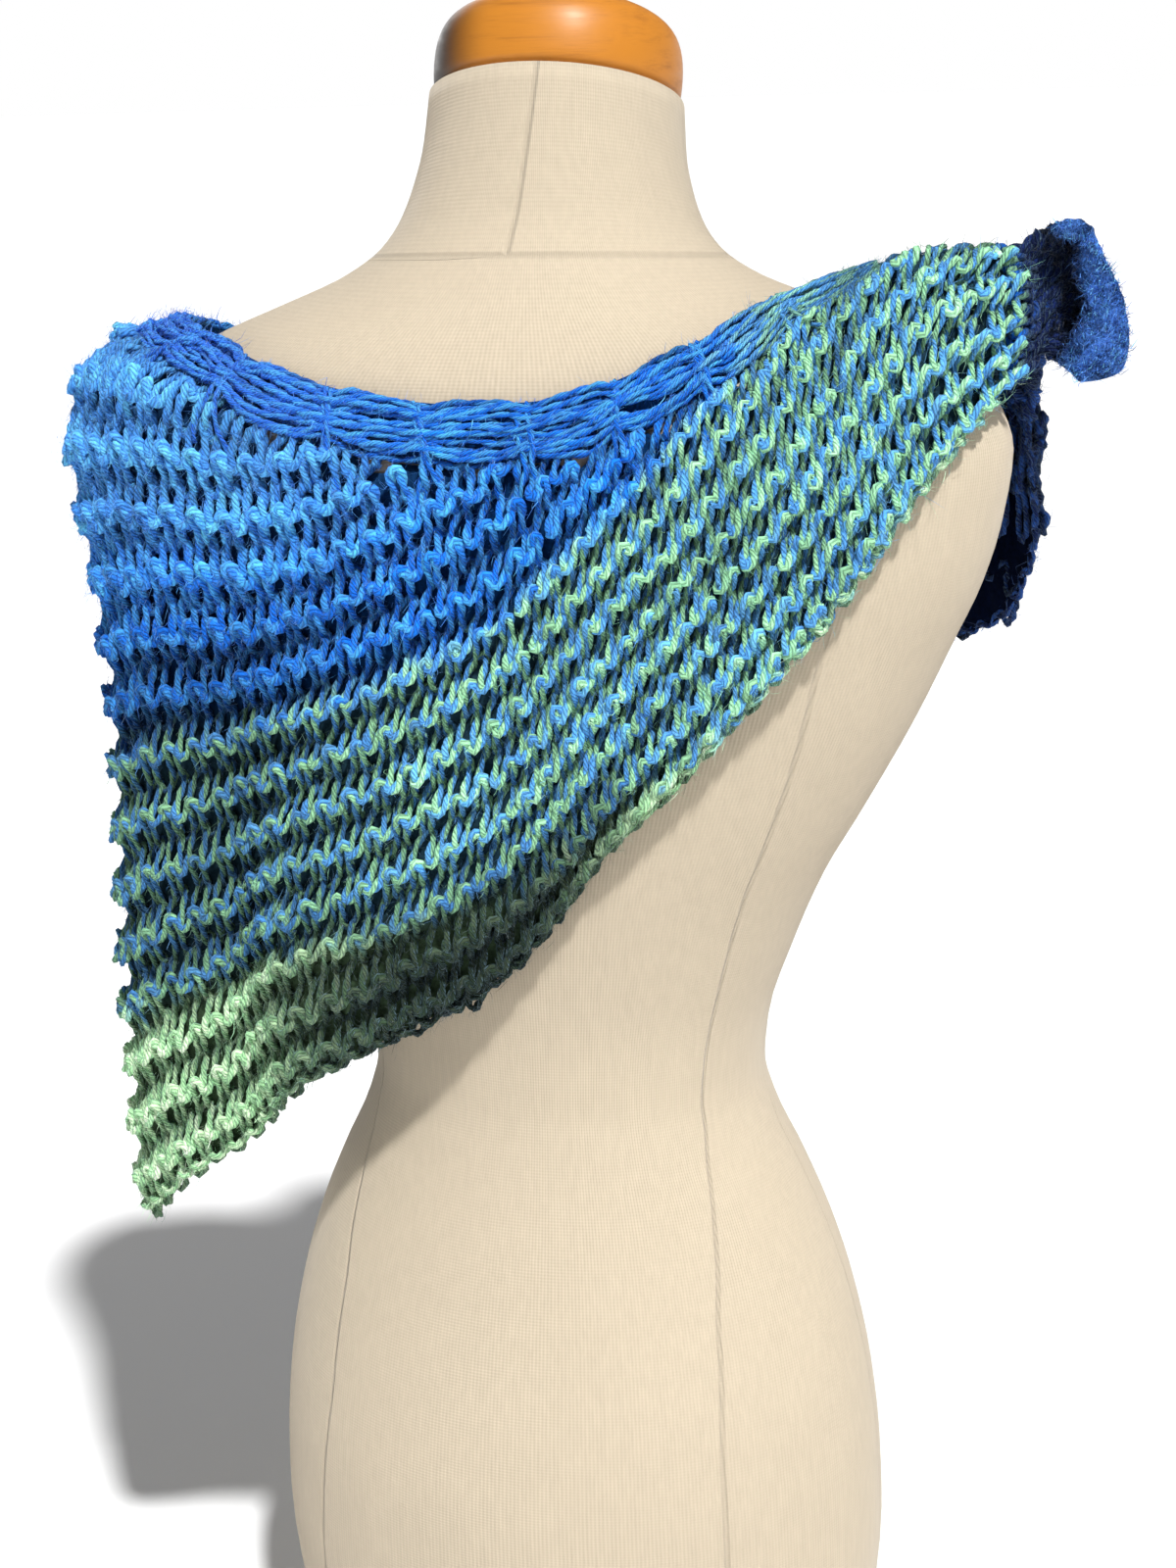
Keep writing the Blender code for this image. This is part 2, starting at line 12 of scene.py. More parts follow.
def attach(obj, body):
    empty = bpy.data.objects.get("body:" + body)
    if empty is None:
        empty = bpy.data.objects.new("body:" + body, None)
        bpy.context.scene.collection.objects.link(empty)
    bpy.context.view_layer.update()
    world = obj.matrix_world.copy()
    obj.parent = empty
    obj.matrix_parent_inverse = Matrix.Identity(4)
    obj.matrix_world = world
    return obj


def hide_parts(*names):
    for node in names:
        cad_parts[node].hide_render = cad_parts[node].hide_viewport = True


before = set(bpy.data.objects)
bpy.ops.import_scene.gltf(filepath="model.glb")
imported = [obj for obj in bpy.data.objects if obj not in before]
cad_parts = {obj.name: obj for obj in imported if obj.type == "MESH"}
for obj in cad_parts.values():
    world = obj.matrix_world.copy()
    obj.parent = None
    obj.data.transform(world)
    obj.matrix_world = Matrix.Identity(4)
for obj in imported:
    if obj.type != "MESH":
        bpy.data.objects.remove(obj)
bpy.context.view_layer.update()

# Dress form, from the base to the tilted top of the neck. Tilt is in degrees,
# forward.
FORM_COLUMNS = ("z", "half_width", "back", "front", "centre_y", "tilt")
FORM_SECTIONS = (
    (0.000, 0.1494, 0.104, 0.100, 0.000, 0),
    (0.060, 0.1573, 0.113, 0.106, 0.000, 0),
    (0.130, 0.1630, 0.121, 0.110, 0.000, 0),
    (0.170, 0.1615, 0.121, 0.112, 0.000, 0),
    (0.214, 0.1567, 0.116, 0.111, 0.000, 0),
    (0.260, 0.1471, 0.106, 0.107, 0.000, 0),
    (0.298, 0.1350, 0.096, 0.101, 0.000, 0),
    (0.330, 0.1214, 0.087, 0.094, 0.000, 0),
    (0.361, 0.1068, 0.080, 0.086, 0.000, 0),
    (0.385, 0.1007, 0.077, 0.082, 0.000, 0),
    (0.410, 0.1028, 0.077, 0.082, 0.000, 0),
    (0.453, 0.1162, 0.082, 0.090, 0.000, 0),
    (0.490, 0.1315, 0.088, 0.102, 0.000, 0),
    (0.524, 0.1505, 0.093, 0.116, 0.000, 0),
    (0.568, 0.1739, 0.098, 0.130, 0.000, 0),
    (0.608, 0.1922, 0.101, 0.134, 0.000, 0),
    (0.636, 0.2046, 0.102, 0.126, 0.000, 0),
    (0.665, 0.2128, 0.101, 0.112, 0.000, 0),
    (0.697, 0.2170, 0.097, 0.096, 0.000, 0),
    (0.718, 0.2102, 0.092, 0.086, 0.000, 0),
    (0.735, 0.1933, 0.086, 0.079, 0.000, 0),
    (0.750, 0.1640, 0.079, 0.073, 0.000, 0),
    (0.765, 0.1269, 0.071, 0.068, 0.001, 0),
    (0.777, 0.0978, 0.063, 0.064, 0.003, 3),
    (0.788, 0.0810, 0.057, 0.062, 0.006, 6),
    (0.800, 0.0719, 0.053, 0.060, 0.010, 10),
    (0.815, 0.0659, 0.052, 0.058, 0.015, 14),
    (0.830, 0.0622, 0.052, 0.056, 0.020, 17),
    (0.853, 0.0600, 0.053, 0.055, 0.027, 20),
)
BASE_EDGE = 0.004

# Turned wooden cap on the neck, as height above the neck and the plan's scale.
CAP_COLUMNS = ("height", "scale")
CAP_SECTIONS = (
    (0.0003, 0.0565),
    (0.0030, 0.0585),
    (0.0180, 0.0592),
    (0.0290, 0.0572),
    (0.0360, 0.0520),
    (0.0405, 0.0420),
    (0.0425, 0.0260),
)
CAP_DEPTH = 0.95

# Shawl, one row a station from the knot round the back, over the left shoulder
# and across the front to the knot again. Each row has the inner face's neckline
# edge, the turn below it and the hem, then the garter ridges counted from the
# back hem: at the hem and at the neckline.
SHAWL_COLUMNS = (
    "neck_x", "neck_y", "neck_z",
    "turn_x", "turn_y", "turn_z",
    "hem_x", "hem_y", "hem_z",
    "hem_ridge", "neck_ridge",
)
SHAWL_STATIONS = (
    (0.211, -0.015, 0.789, 0.216, -0.018, 0.762, 0.211, -0.014, 0.733, 0.0, 4.8),
    (0.186, -0.029, 0.789, 0.195, -0.042, 0.756, 0.199, -0.034, 0.716, 0.0, 5.2),
    (0.163, -0.037, 0.785, 0.172, -0.056, 0.747, 0.186, -0.053, 0.699, 0.0, 5.8),
    (0.140, -0.043, 0.779, 0.150, -0.064, 0.740, 0.168, -0.066, 0.672, 0.0, 6.3),
    (0.117, -0.048, 0.771, 0.128, -0.070, 0.733, 0.150, -0.076, 0.645, 0.0, 6.8),
    (0.100, -0.056, 0.762, 0.108, -0.076, 0.722, 0.131, -0.084, 0.620, 0.0, 7.3),
    (0.080, -0.069, 0.752, 0.085, -0.084, 0.710, 0.106, -0.092, 0.590, 0.0, 7.9),
    (0.058, -0.079, 0.742, 0.060, -0.090, 0.700, 0.078, -0.099, 0.557, 0.0, 8.7),
    (0.036, -0.085, 0.734, 0.036, -0.095, 0.690, 0.046, -0.104, 0.523, 0.0, 9.5),
    (0.010, -0.088, 0.730, 0.010, -0.097, 0.686, 0.014, -0.107, 0.482, 0.0, 10.4),
    (-0.020, -0.089, 0.729, -0.021, -0.097, 0.686, -0.024, -0.107, 0.452, 0.0, 11.2),
    (-0.052, -0.086, 0.731, -0.054, -0.094, 0.691, -0.064, -0.103, 0.430, 0.0, 12.0),
    (-0.086, -0.077, 0.736, -0.092, -0.086, 0.701, -0.106, -0.095, 0.404, 0.0, 12.8),
    (-0.118, -0.062, 0.743, -0.138, -0.078, 0.714, -0.143, -0.085, 0.374, 0.0, 13.4),
    (-0.146, -0.044, 0.750, -0.178, -0.062, 0.728, -0.178, -0.070, 0.338, 0.0, 13.9),
    (-0.166, -0.024, 0.753, -0.207, -0.038, 0.735, -0.206, -0.045, 0.301, 0.0, 14.3),
    (-0.178, 0.000, 0.753, -0.221, -0.004, 0.736, -0.222, -0.010, 0.309, 0.5, 14.6),
    (-0.176, 0.026, 0.749, -0.218, 0.034, 0.731, -0.226, 0.026, 0.352, 2.4, 15.0),
    (-0.160, 0.048, 0.743, -0.197, 0.064, 0.722, -0.212, 0.060, 0.396, 4.6, 15.4),
    (-0.134, 0.066, 0.735, -0.160, 0.086, 0.708, -0.182, 0.090, 0.438, 6.6, 15.9),
    (-0.102, 0.078, 0.727, -0.116, 0.101, 0.692, -0.140, 0.113, 0.470, 8.3, 16.4),
    (-0.066, 0.086, 0.720, -0.074, 0.111, 0.680, -0.094, 0.127, 0.496, 9.8, 16.9),
    (-0.028, 0.091, 0.716, -0.030, 0.117, 0.672, -0.046, 0.134, 0.519, 11.1, 17.4),
    (0.012, 0.092, 0.716, 0.014, 0.118, 0.671, 0.004, 0.136, 0.539, 12.3, 17.8),
    (0.052, 0.089, 0.720, 0.056, 0.113, 0.676, 0.056, 0.131, 0.556, 13.4, 18.2),
    (0.092, 0.082, 0.729, 0.099, 0.103, 0.688, 0.110, 0.119, 0.570, 14.4, 18.6),
    (0.128, 0.071, 0.740, 0.140, 0.090, 0.702, 0.162, 0.100, 0.583, 15.4, 19.0),
    (0.162, 0.058, 0.752, 0.186, 0.074, 0.716, 0.206, 0.074, 0.600, 16.4, 19.3),
    (0.190, 0.042, 0.763, 0.218, 0.048, 0.728, 0.224, 0.049, 0.648, 17.4, 19.6),
    (0.206, 0.027, 0.771, 0.222, 0.027, 0.750, 0.219, 0.029, 0.714, 18.6, 20.0),
)

# Folds of the hanging part: station, half width in stations, depth (+ is out),
# drift along the shawl from top to hem, then the shares of the height where the
# fold starts, is full, begins to fade and is gone.
FOLD_COLUMNS = (
    "station", "spread", "depth", "drift", "starts", "full", "fades", "gone",
)
FOLDS = (
    (16.3, 1.90, 0.014, 0.0, 0.06, 0.20, 0.22, 0.50),
    (13.1, 0.75, -0.012, 0.4, 0.10, 0.60, 1.10, 1.20),
    (14.7, 0.90, 0.010, 0.2, 0.30, 0.90, 1.10, 1.20),
    (11.8, 0.80, 0.006, 0.4, 0.30, 0.90, 1.10, 1.20),
    (9.0, 1.10, -0.005, 0.0, 0.40, 1.00, 1.10, 1.20),
    (17.6, 0.80, -0.012, 0.0, 0.20, 0.90, 1.10, 1.20),
    (19.0, 0.90, 0.012, -0.4, 0.30, 0.90, 1.10, 1.20),
    (20.9, 0.80, -0.008, -1.2, 0.30, 0.90, 1.10, 1.20),
    (22.8, 0.80, 0.009, -2.2, 0.20, 0.70, 1.10, 1.20),
    (24.8, 0.70, -0.006, -2.6, 0.15, 0.60, 1.10, 1.20),
    (26.4, 0.70, 0.006, -2.6, 0.10, 0.50, 0.80, 1.10),
)
# Where the back hem curls in toward the form: station, spread, how far in.
HEM_CURLS = (
    (8.6, 2.4, 0.010),
    (11.4, 1.6, 0.008),
)

# The cloth stands clear of the form by CLEARANCE, and turns down off it over
# SOFT_EDGE. The neckline edge is BORDER_WIDTH high.
CLEARANCE = 0.0009
SOFT_EDGE = 0.003
BORDER_WIDTH = 0.028
TIE_SPACING = 0.055
EYELET = 0.0055

# Knot on the right shoulder: y, then half width, half height, centre x and z.
KNOT_COLUMNS = ("y", "half_x", "half_z", "centre_x", "centre_z")
KNOT_SECTIONS = (
    (0.0265, 0.0060, 0.0170, 0.2150, 0.747),
    (0.0235, 0.0105, 0.0230, 0.2145, 0.749),
    (0.0185, 0.0125, 0.0245, 0.2140, 0.751),
    (0.0140, 0.0115, 0.0235, 0.2145, 0.753),
    (0.0090, 0.0130, 0.0255, 0.2150, 0.755),
    (0.0030, 0.0120, 0.0245, 0.2160, 0.757),
    (-0.0030, 0.0095, 0.0215, 0.2175, 0.758),
    (-0.0080, 0.0050, 0.0130, 0.2185, 0.758),
)

# Flared end past the knot, from its top edge round to its bottom edge. Each row
# runs from the root at the knot, by the hollow and the lip, to the rim.
END_COLUMNS = (
    "root_x", "root_y", "root_z",
    "hollow_x", "hollow_y", "hollow_z",
    "lip_x", "lip_y", "lip_z",
    "rim_x", "rim_y", "rim_z",
)
END_ROWS = (
    (0.2184, 0.000, 0.788, 0.227, 0.004, 0.795, 0.233, -0.008, 0.799, 0.239, -0.006, 0.800),
    (0.2277, 0.010, 0.784, 0.235, 0.018, 0.788, 0.242, 0.004, 0.793, 0.250, 0.002, 0.790),
    (0.2307, 0.013, 0.774, 0.240, 0.022, 0.774, 0.248, 0.000, 0.778, 0.259, 0.002, 0.773),
    (0.2311, 0.012, 0.763, 0.241, 0.020, 0.760, 0.250, -0.008, 0.761, 0.266, -0.006, 0.753),
    (0.2306, 0.008, 0.752, 0.239, 0.010, 0.747, 0.249, -0.015, 0.745, 0.265, -0.014, 0.736),
    (0.2291, 0.002, 0.744, 0.234, 0.000, 0.738, 0.241, -0.019, 0.736, 0.249, -0.022, 0.727),
)
END_THICK = 0.005
KNOT_TWIST = 26

# The thin inner cloth, and its painted shade: how dark it is made between the loops.
BACKING = 0.0012
BACKING_SHADE = 0.11
FIBRES = 29500
END_FIBRES = 6000
LONGEST_FIBRE = 0.0085
SEED = 17

# Stitches: width along a course, sampled points and sides of each ply's tube.
STITCH = 0.0154
SAMPLES = 16
SIDES = 5
YARN = 0.00205
TWIST = 0.0175
HEM_LOOP = 0.0142
# A ply's radius and its distance from the yarn's middle, as shares of YARN.
PLY = 0.66
PLY_OUT = 0.42
LOOP_LEAN = 0.10
LOOP_PAIR = 0.055
LOOP_REACH = 0.385
LOOP_DEPTH = 0.0048
LOOP_LIFT = 0.0060
# Garter ridges in all, and how many of them are in the low pieces.
RIDGES = 20
LOW_RIDGES = 6.5
# Pieces of the knitting by their stations.
YARN_PIECES = (("back", -1.0, 11.0), ("corner", 11.0, 17.5), ("front", 17.5, 30.0))

# Strands of the neckline edge: share across its width, and lift in metres.
STRANDS = (
    (0.01, 0.0028), (0.08, 0.0050), (0.15, 0.0062), (0.22, 0.0056), (0.30, 0.0040),
    (0.38, 0.0058), (0.45, 0.0068), (0.52, 0.0064), (0.59, 0.0048), (0.68, 0.0056),
    (0.76, 0.0064), (0.84, 0.0058), (0.93, 0.0040), (0.20, 0.0028), (0.50, 0.0034),
    (0.80, 0.0030),
)
STRAND = 0.00150

# Yarn colours as sRGB.
MINT = "#9cd8a6"
MINT_DEEP = "#84c6a0"
TIP = "#c8f0bc"
TIP_DEEP = "#a2d49e"
BLUE = "#1673e7"
BLUE_LIGHT = "#45a2f9"
SKY = "#6fb8f7"
VIOLET = "#4476e4"
NAVY = "#122254"
NAVY_LIGHT = "#23478f"
JERSEY = "#c2b49e"
WOOD = "#bd7826"
WOOD_DARK = "#9c5f20"
END_BLUE = "#4270bc"
# Painted shade and reflection on the cap's left side: from dark to none between these two x,
# and how dark it is.
CAP_SHADE_EDGE = (-0.050, -0.018)
CAP_SHADE = 0.04
# The yarn's own strands: one turn's length, and a ply's radius in the grain.
SPUN_PITCH = 0.0024
PLY_ROUND = 0.0022
# Jersey: its wales, its courses, and half the width of a seam.
JERSEY_WALE = 0.0019
JERSEY_COURSE = 0.0015
SEAM_HALF = 0.0016
# The neck seam's height, then the back's two seams: angle in degrees by height.
NECK_SEAM = 0.7845
SEAM_HEIGHTS = (0.10, 0.143, 0.220, 0.281, 0.329, 0.371, 0.42, 0.55, 0.70)
LEFT_SEAM = (221.0, 222.1, 224.6, 222.5, 215.9, 208.0, 207.0, 212.0, 222.0)
RIGHT_SEAM = (307.0, 307.0, 307.5, 310.0, 315.0, 321.0, 322.0, 318.0, 312.0)

# Camera: azimuth, pitch and roll in degrees, then its place and its lens in mm.
CAMERA_TURNS = (13.9, 17.0, -1.5)
CAMERA_AWAY = 1.12
CAMERA_HEIGHT = 0.870
CAMERA_ASIDE = 0.0128
CAMERA_LENS = 54
# A broad soft sun and one soft box: direction or place, size and strength.
SUN_FROM = (0.60, -0.90, 1.60)
SUN_ANGLE = 3.6
SUN_STRENGTH = 4.5
BOX_AT = (-1.30, 2.00, 1.60)
BOX_WIDTH = 1.3
BOX_POWER = 11.0
SKY_LOW = 1.0
SKY_HIGH = 0.17


def smooth_through(xs, ys, at):
    """A cubic through the points that doesn't overshoot. ys may have columns."""
    xs = np.asarray(xs, float)
    ys = np.asarray(ys, float)
    flat = ys.ndim == 1
    if flat:
        ys = ys[:, None]
    step = np.diff(xs)[:, None]
    rise = np.diff(ys, axis=0) / step
    slope = np.zeros_like(ys)
    same_way = rise[:-1] * rise[1:] > 0
    before = 2 * step[1:] + step[:-1]
    after = step[1:] + 2 * step[:-1]
    safe_before = np.where(same_way, rise[:-1], 1.0)
    safe_after = np.where(same_way, rise[1:], 1.0)
    mean = (before + after) / (before / safe_before + after / safe_after)
    slope[1:-1] = np.where(same_way, mean, 0.0)
    slope[0] = rise[0]
    slope[-1] = rise[-1]
    at = np.clip(np.asarray(at, float), xs[0], xs[-1])
    cell = np.clip(np.searchsorted(xs, at) - 1, 0, len(xs) - 2)
    wide = step[cell]
    t = (at - xs[cell])[..., None] / wide
    out = (1 + 2 * t) * (1 - t) ** 2 * ys[cell]
    out = out + t * (1 - t) ** 2 * wide * slope[cell]
    out = out + t * t * (3 - 2 * t) * ys[cell + 1]
    out = out + t * t * (t - 1) * wide * slope[cell + 1]
    return out[..., 0] if flat else out


def ease(low, high, value):
    t = np.clip((value - low) / (high - low), 0.0, 1.0)
    return t * t * (3 - 2 * t)


def border_width(station):
    """The neckline edge narrows to nothing beside the knot."""
    return 0.0006 + (BORDER_WIDTH - 0.0006) * ease(1.0, 5.2, station)


def form_at(z):
    """The form's section sizes at each height: one column a size."""
    table = np.array(FORM_SECTIONS)
    return smooth_through(table[:, 0], table[:, 1:], z)


def form_ring(z, count):
    wide, back, front, centre, tilt = form_at(np.array([z]))[0]
    turn = np.linspace(0, 2 * math.pi, count, endpoint=False)
    deep = np.where(np.sin(turn) > 0, front, back)
    y = deep * np.sin(turn)
    lift = -y * math.tan(math.radians(tilt))
    return np.stack([wide * np.cos(turn), centre + y, z + lift], axis=1)


def lengths_along(path):
    """How far along the path each of its points is."""
    steps = np.linalg.norm(np.diff(path, axis=0), axis=1)
    return np.concatenate([[0], np.cumsum(steps)])


def bilinear(grid, a, b):
    """The grid's values between its rows, at a, and its columns, at b."""
    i = np.minimum(a.astype(int), grid.shape[0] - 2)
    j = np.minimum(b.astype(int), grid.shape[1] - 2)
    spread = (...,) + (None,) * (grid.ndim - 2)
    fa, fb = (a - i)[spread], (b - j)[spread]
    low = grid[i, j] * (1 - fb) + grid[i, j + 1] * fb
    high = grid[i + 1, j] * (1 - fb) + grid[i + 1, j + 1] * fb
    return low * (1 - fa) + high * fa


def blend(first, second, share):
    """From first, where share is 0, to second, where it is 1."""
    return first * (1 - share) + second * share


def sheet_faces(n, m):
    """A closed thin sheet's faces: n by m points of one side, then the other's."""
    a = np.arange(n - 1)[:, None] * m + np.arange(m - 1)[None, :]
    front = np.stack([a, a + 1, a + m + 1, a + m], axis=-1).reshape(-1, 4)
    faces = [front, front[:, ::-1] + n * m]
    for row in (0, m - 1):
        k = np.arange(n - 1) * m + row
        strip = np.stack([k, k + m, k + m + n * m, k + n * m], axis=-1)
        faces.append(strip if row == 0 else strip[:, ::-1])
    for column in (0, n - 1):
        k = column * m + np.arange(m - 1)
        strip = np.stack([k + 1, k, k + n * m, k + 1 + n * m], axis=-1)
        faces.append(strip if column == 0 else strip[:, ::-1])
    return np.concatenate(faces)


def ring_quads(n, s):
    """The faces between n rings of s points."""
    i, j = np.arange(n - 1)[:, None], np.arange(s)[None, :]
    k = (j + 1) % s
    return np.stack([i * s + j, i * s + k, (i + 1) * s + k, (i + 1) * s + j], axis=-1)


def ring_corners(along, s):
    """At each corner of ring_quads: its ring's value of along, and its step."""
    shape = (len(along) - 1, s, 4)
    up = np.stack([along[:-1], along[:-1], along[1:], along[1:]], axis=-1)
    j = np.arange(s)[:, None] + np.array([0, 1, 1, 0])
    return np.broadcast_to(up[:, None], shape), np.broadcast_to(j, shape)


class Drape:
    """The shawl's inner face as a fine grid: columns along it, rows down it."""

    columns = 581
    rows = 121

    def __init__(self):
        table = np.array(SHAWL_STATIONS)
        last = len(table) - 1
        self.station = np.linspace(0, last, self.columns)
        row = smooth_through(np.arange(last + 1), table, self.station)
        self.hem_ridge = row[:, 9]
        self.neck_ridge = row[:, 10]
        neck, turn, hem = row[:, 0:3], row[:, 3:6], row[:, 6:9]
        share = np.linspace(0, 1, 61)
        self.points = np.zeros((self.columns, self.rows, 3))
        reach = self.hull_table()
        for i in range(self.columns):
            first = np.linalg.norm(turn[i] - neck[i])
            second = np.linalg.norm(hem[i] - turn[i])
            at = (0.0, first / (first + second), 1.0)
            path = smooth_through(at, np.array([neck[i], turn[i], hem[i]]), share)
            path = self.folded(self.draped(path, reach), self.station[i], share)
            self.points[i] = self.even(path)
        self.clear_of_form()
        for i in range(self.columns):
            self.points[i] = self.even(self.points[i])
        self.measure()

    def hull_table(self):
        """The form's radius by angle and height, each the most of all above."""
        self.angles = np.linspace(0, 2 * math.pi, 241)
        self.heights = np.linspace(0.25, 0.80, 221)
        sizes = form_at(self.heights)
        sine = np.sin(self.angles)[:, None]
        deep = np.where(sine < 0, sizes[:, 1], sizes[:, 2])
        across = np.cos(self.angles)[:, None] / sizes[:, 0]
        radius = 1 / np.sqrt(across ** 2 + (sine / deep) ** 2)
        return np.maximum.accumulate(radius[:, ::-1], axis=1)[:, ::-1]

    def draped(self, path, reach):
        """The path hangs straight down from the widest place above it.

        It leaves the form without a crease, by a soft greater-of."""
        radius = np.hypot(path[:, 0], path[:, 1])
        angle = np.arctan2(path[:, 1], path[:, 0]) % (2 * math.pi)
        h = (path[:, 2] - self.heights[0]) / (self.heights[1] - self.heights[0])
        h = np.clip(h, 0, len(self.heights) - 1.001)
        least = bilinear(reach, angle / self.angles[1], h) + CLEARANCE
        gap = radius - least
        out = least + 0.5 * (gap + np.sqrt(gap * gap + SOFT_EDGE * SOFT_EDGE))
        return self.scaled_out(path, out / radius)

    def scaled_out(self, path, scale):
        new = path.copy()
        new[:, :2] *= scale[:, None]
        return new

    def folded(self, path, station, share):
        out = np.zeros(len(path))
        for middle, spread, depth, drift, starts, full, fades, gone in FOLDS:
            off = (station - middle - drift * (share - 0.5)) / spread
            height = ease(starts, full, share) * (1 - ease(fades, gone, share))
            out += depth * np.exp(-(off**2)) * height
        for middle, spread, inward in HEM_CURLS:
            across = math.exp(-(((station - middle) / spread) ** 2))
            out -= inward * across * ease(0.80, 1.0, share) ** 1.5
        return self.scaled_out(path, 1 + out / np.hypot(path[:, 0], path[:, 1]))

    def even(self, path):
        """The path's points again, at even steps."""
        along = lengths_along(path)
        at = np.linspace(0, along[-1], self.rows)
        return np.stack([np.interp(at, along, path[:, k]) for k in range(3)], axis=1)

    def distance(self, points):
        """Each point's distance from the form's axis, as a share of the form's."""
        sizes = form_at(points[..., 2])
        y = points[..., 1] - sizes[..., 3]
        deep = np.where(y < 0, sizes[..., 1], sizes[..., 2])
        return np.sqrt((points[..., 0] / sizes[..., 0]) ** 2 + (y / deep) ** 2)

    def clear_of_form(self):
        """Moves points out of the form, by its slope, in three steps."""
        step = 1e-4
        for _ in range(3):
            level = self.distance(self.points)
            slope = np.zeros_like(self.points)
            for k in range(3):
                shifted = self.points.copy()
                shifted[..., k] += step
                slope[..., k] = (self.distance(shifted) - level) / step
            size = np.linalg.norm(slope, axis=-1)
            push = np.clip(CLEARANCE - (level - 1) / size, 0.0, 0.02)
            self.points += slope / size[..., None] * push[..., None]

    def measure(self):
        along = np.gradient(self.points, axis=0)
        down = np.gradient(self.points, axis=1)
        out = np.cross(down, along)
        out /= np.linalg.norm(out, axis=-1, keepdims=True)
        centre = self.points.copy()
        centre[..., 2] = 0
        self.normals = -out if np.sum(out * centre) < 0 else out
        self.along = lengths_along(self.points[:, self.rows // 2])
        self.drop = np.linalg.norm(np.diff(self.points, axis=1), axis=2).sum(axis=1)

    def at(self, name, station):
        """The along, drop, hem_ridge or neck_ridge of places along the shawl."""
        return np.interp(station, self.station, getattr(self, name))

    def sample(self, station, share):
        """The point and the outward way at stations and shares of the height.

        A share over 1 goes straight on below the hem."""
        share = np.asarray(share, float)
        station = np.asarray(station, float) * np.ones(np.shape(share))
        a = np.clip(station / self.station[-1], 0, 1) * (self.columns - 1)
        b = np.clip(share, 0, 1) * (self.rows - 1)
        out = bilinear(self.normals, a, b)
        out /= np.linalg.norm(out, axis=-1, keepdims=True)
        below = self.points[:, -1] - self.points[:, -6]
        below /= np.linalg.norm(below, axis=1, keepdims=True)
        below = below[np.minimum(a.astype(int), self.columns - 2)]
        over = np.clip(share - 1, 0, None) * self.at("drop", station)
        return bilinear(self.points, a, b) + below * over[..., None], out


def linear(colour):
    """An sRGB hex colour as the linear numbers that a shader takes."""
    parts = [int(colour[i:i + 2], 16) / 255 for i in (1, 3, 5)]
    low = [c / 12.92 for c in parts]
    high = [((c + 0.055) / 1.055) ** 2.4 for c in parts]
    return np.array([h if c > 0.04045 else b for c, b, h in zip(parts, low, high)])


class Nodes:
    """A node tree, with short ways to write it."""

    def __init__(self, tree):
        self.tree = tree

    def add(self, kind, inputs=None, **settings):
        """A shader node with its settings, and its inputs linked or given a value."""
        made = self.tree.nodes.new("ShaderNode" + kind)
        for name, value in settings.items():
            setattr(made, name, value)
        for name, value in (inputs or {}).items():
            if isinstance(value, bpy.types.NodeSocket):
                self.tree.links.new(value, made.inputs[name])
            else:
                made.inputs[name].default_value = value
        return made

    def math(self, operation, first, *others):
        """The operation on the values, taken two at a time from the left."""
        for other in others or (0.0,):
            made = self.add("Math", {0: first, 1: other}, operation=operation)
            first = made.outputs[0]
        return first

    def times(self, *values):
        return self.math("MULTIPLY", *values)

    def plus(self, *values):
        return self.math("ADD", *values)

    def wave(self, value, length):
        return self.math("SINE", self.times(value, 2 * math.pi / length))

    def between(self, value, low, high, to_low=0.0, to_high=1.0, smooth=True):
        """Maps value from low-high to another range, held at its ends."""
        kind = "SMOOTHSTEP" if smooth else "LINEAR"
        inputs = {"Value": value, 1: low, 2: high, 3: to_low, 4: to_high}
        return self.add("MapRange", inputs, interpolation_type=kind).outputs[0]

    def mix(self, factor, first, second, kind="MIX", **settings):
        settings.update(data_type="RGBA", blend_type=kind)
        return self.add("Mix", {0: factor, 6: first, 7: second}, **settings).outputs[2]

    def scaled(self, vector, by):
        inputs = {0: vector, 1: by}
        return self.add("VectorMath", inputs, operation="MULTIPLY").outputs[0]

    def grey(self, value):
        return self.add("CombineXYZ", {0: value, 1: value, 2: value}).outputs[0]

    def split(self, vector):
        return self.add("SeparateXYZ", {0: vector}).outputs

    def noise(self, vector, scale, detail=2.0, roughness=0.5):
        inputs = {"Vector": vector, "Scale": scale, "Detail": detail, "Roughness": roughness}
        return self.add("TexNoise", inputs).outputs["Fac"]

    def bump(self, height, distance, strength, **normal):
        inputs = {"Height": height, "Distance": distance, "Strength": strength, **normal}
        return self.add("Bump", inputs).outputs[0]

    def place(self):
        return self.add("TexCoord").outputs["Object"]

    def uv(self, name):
        return self.split(self.add("UVMap", uv_map=name).outputs[0])

    def read(self, name, output="Color"):
        return self.add("Attribute", attribute_name=name).outputs[output]


class Finish(Nodes):
    """A new material and its nodes. note says what the real one is."""

    def __init__(self, name, note, roughness, **sockets):
        self.made = bpy.data.materials.new(name)
        self.made.use_nodes = True
        self.made["finish"] = note
        super().__init__(self.made.node_tree)
        self.inputs = self.tree.nodes["Principled BSDF"].inputs
        for key, value in {"Roughness": roughness, **sockets}.items():
            self.inputs[key.replace("_", " ")].default_value = value

    def link(self, value, socket):
        self.tree.links.new(value, self.inputs[socket])

    def dye(self, colour, value, **settings):
        """The base colour: colour, made lighter or darker by value."""
        dyed = self.mix(1.0, colour, self.grey(value), "MULTIPLY", **settings)
        self.link(dyed, "Base Color")


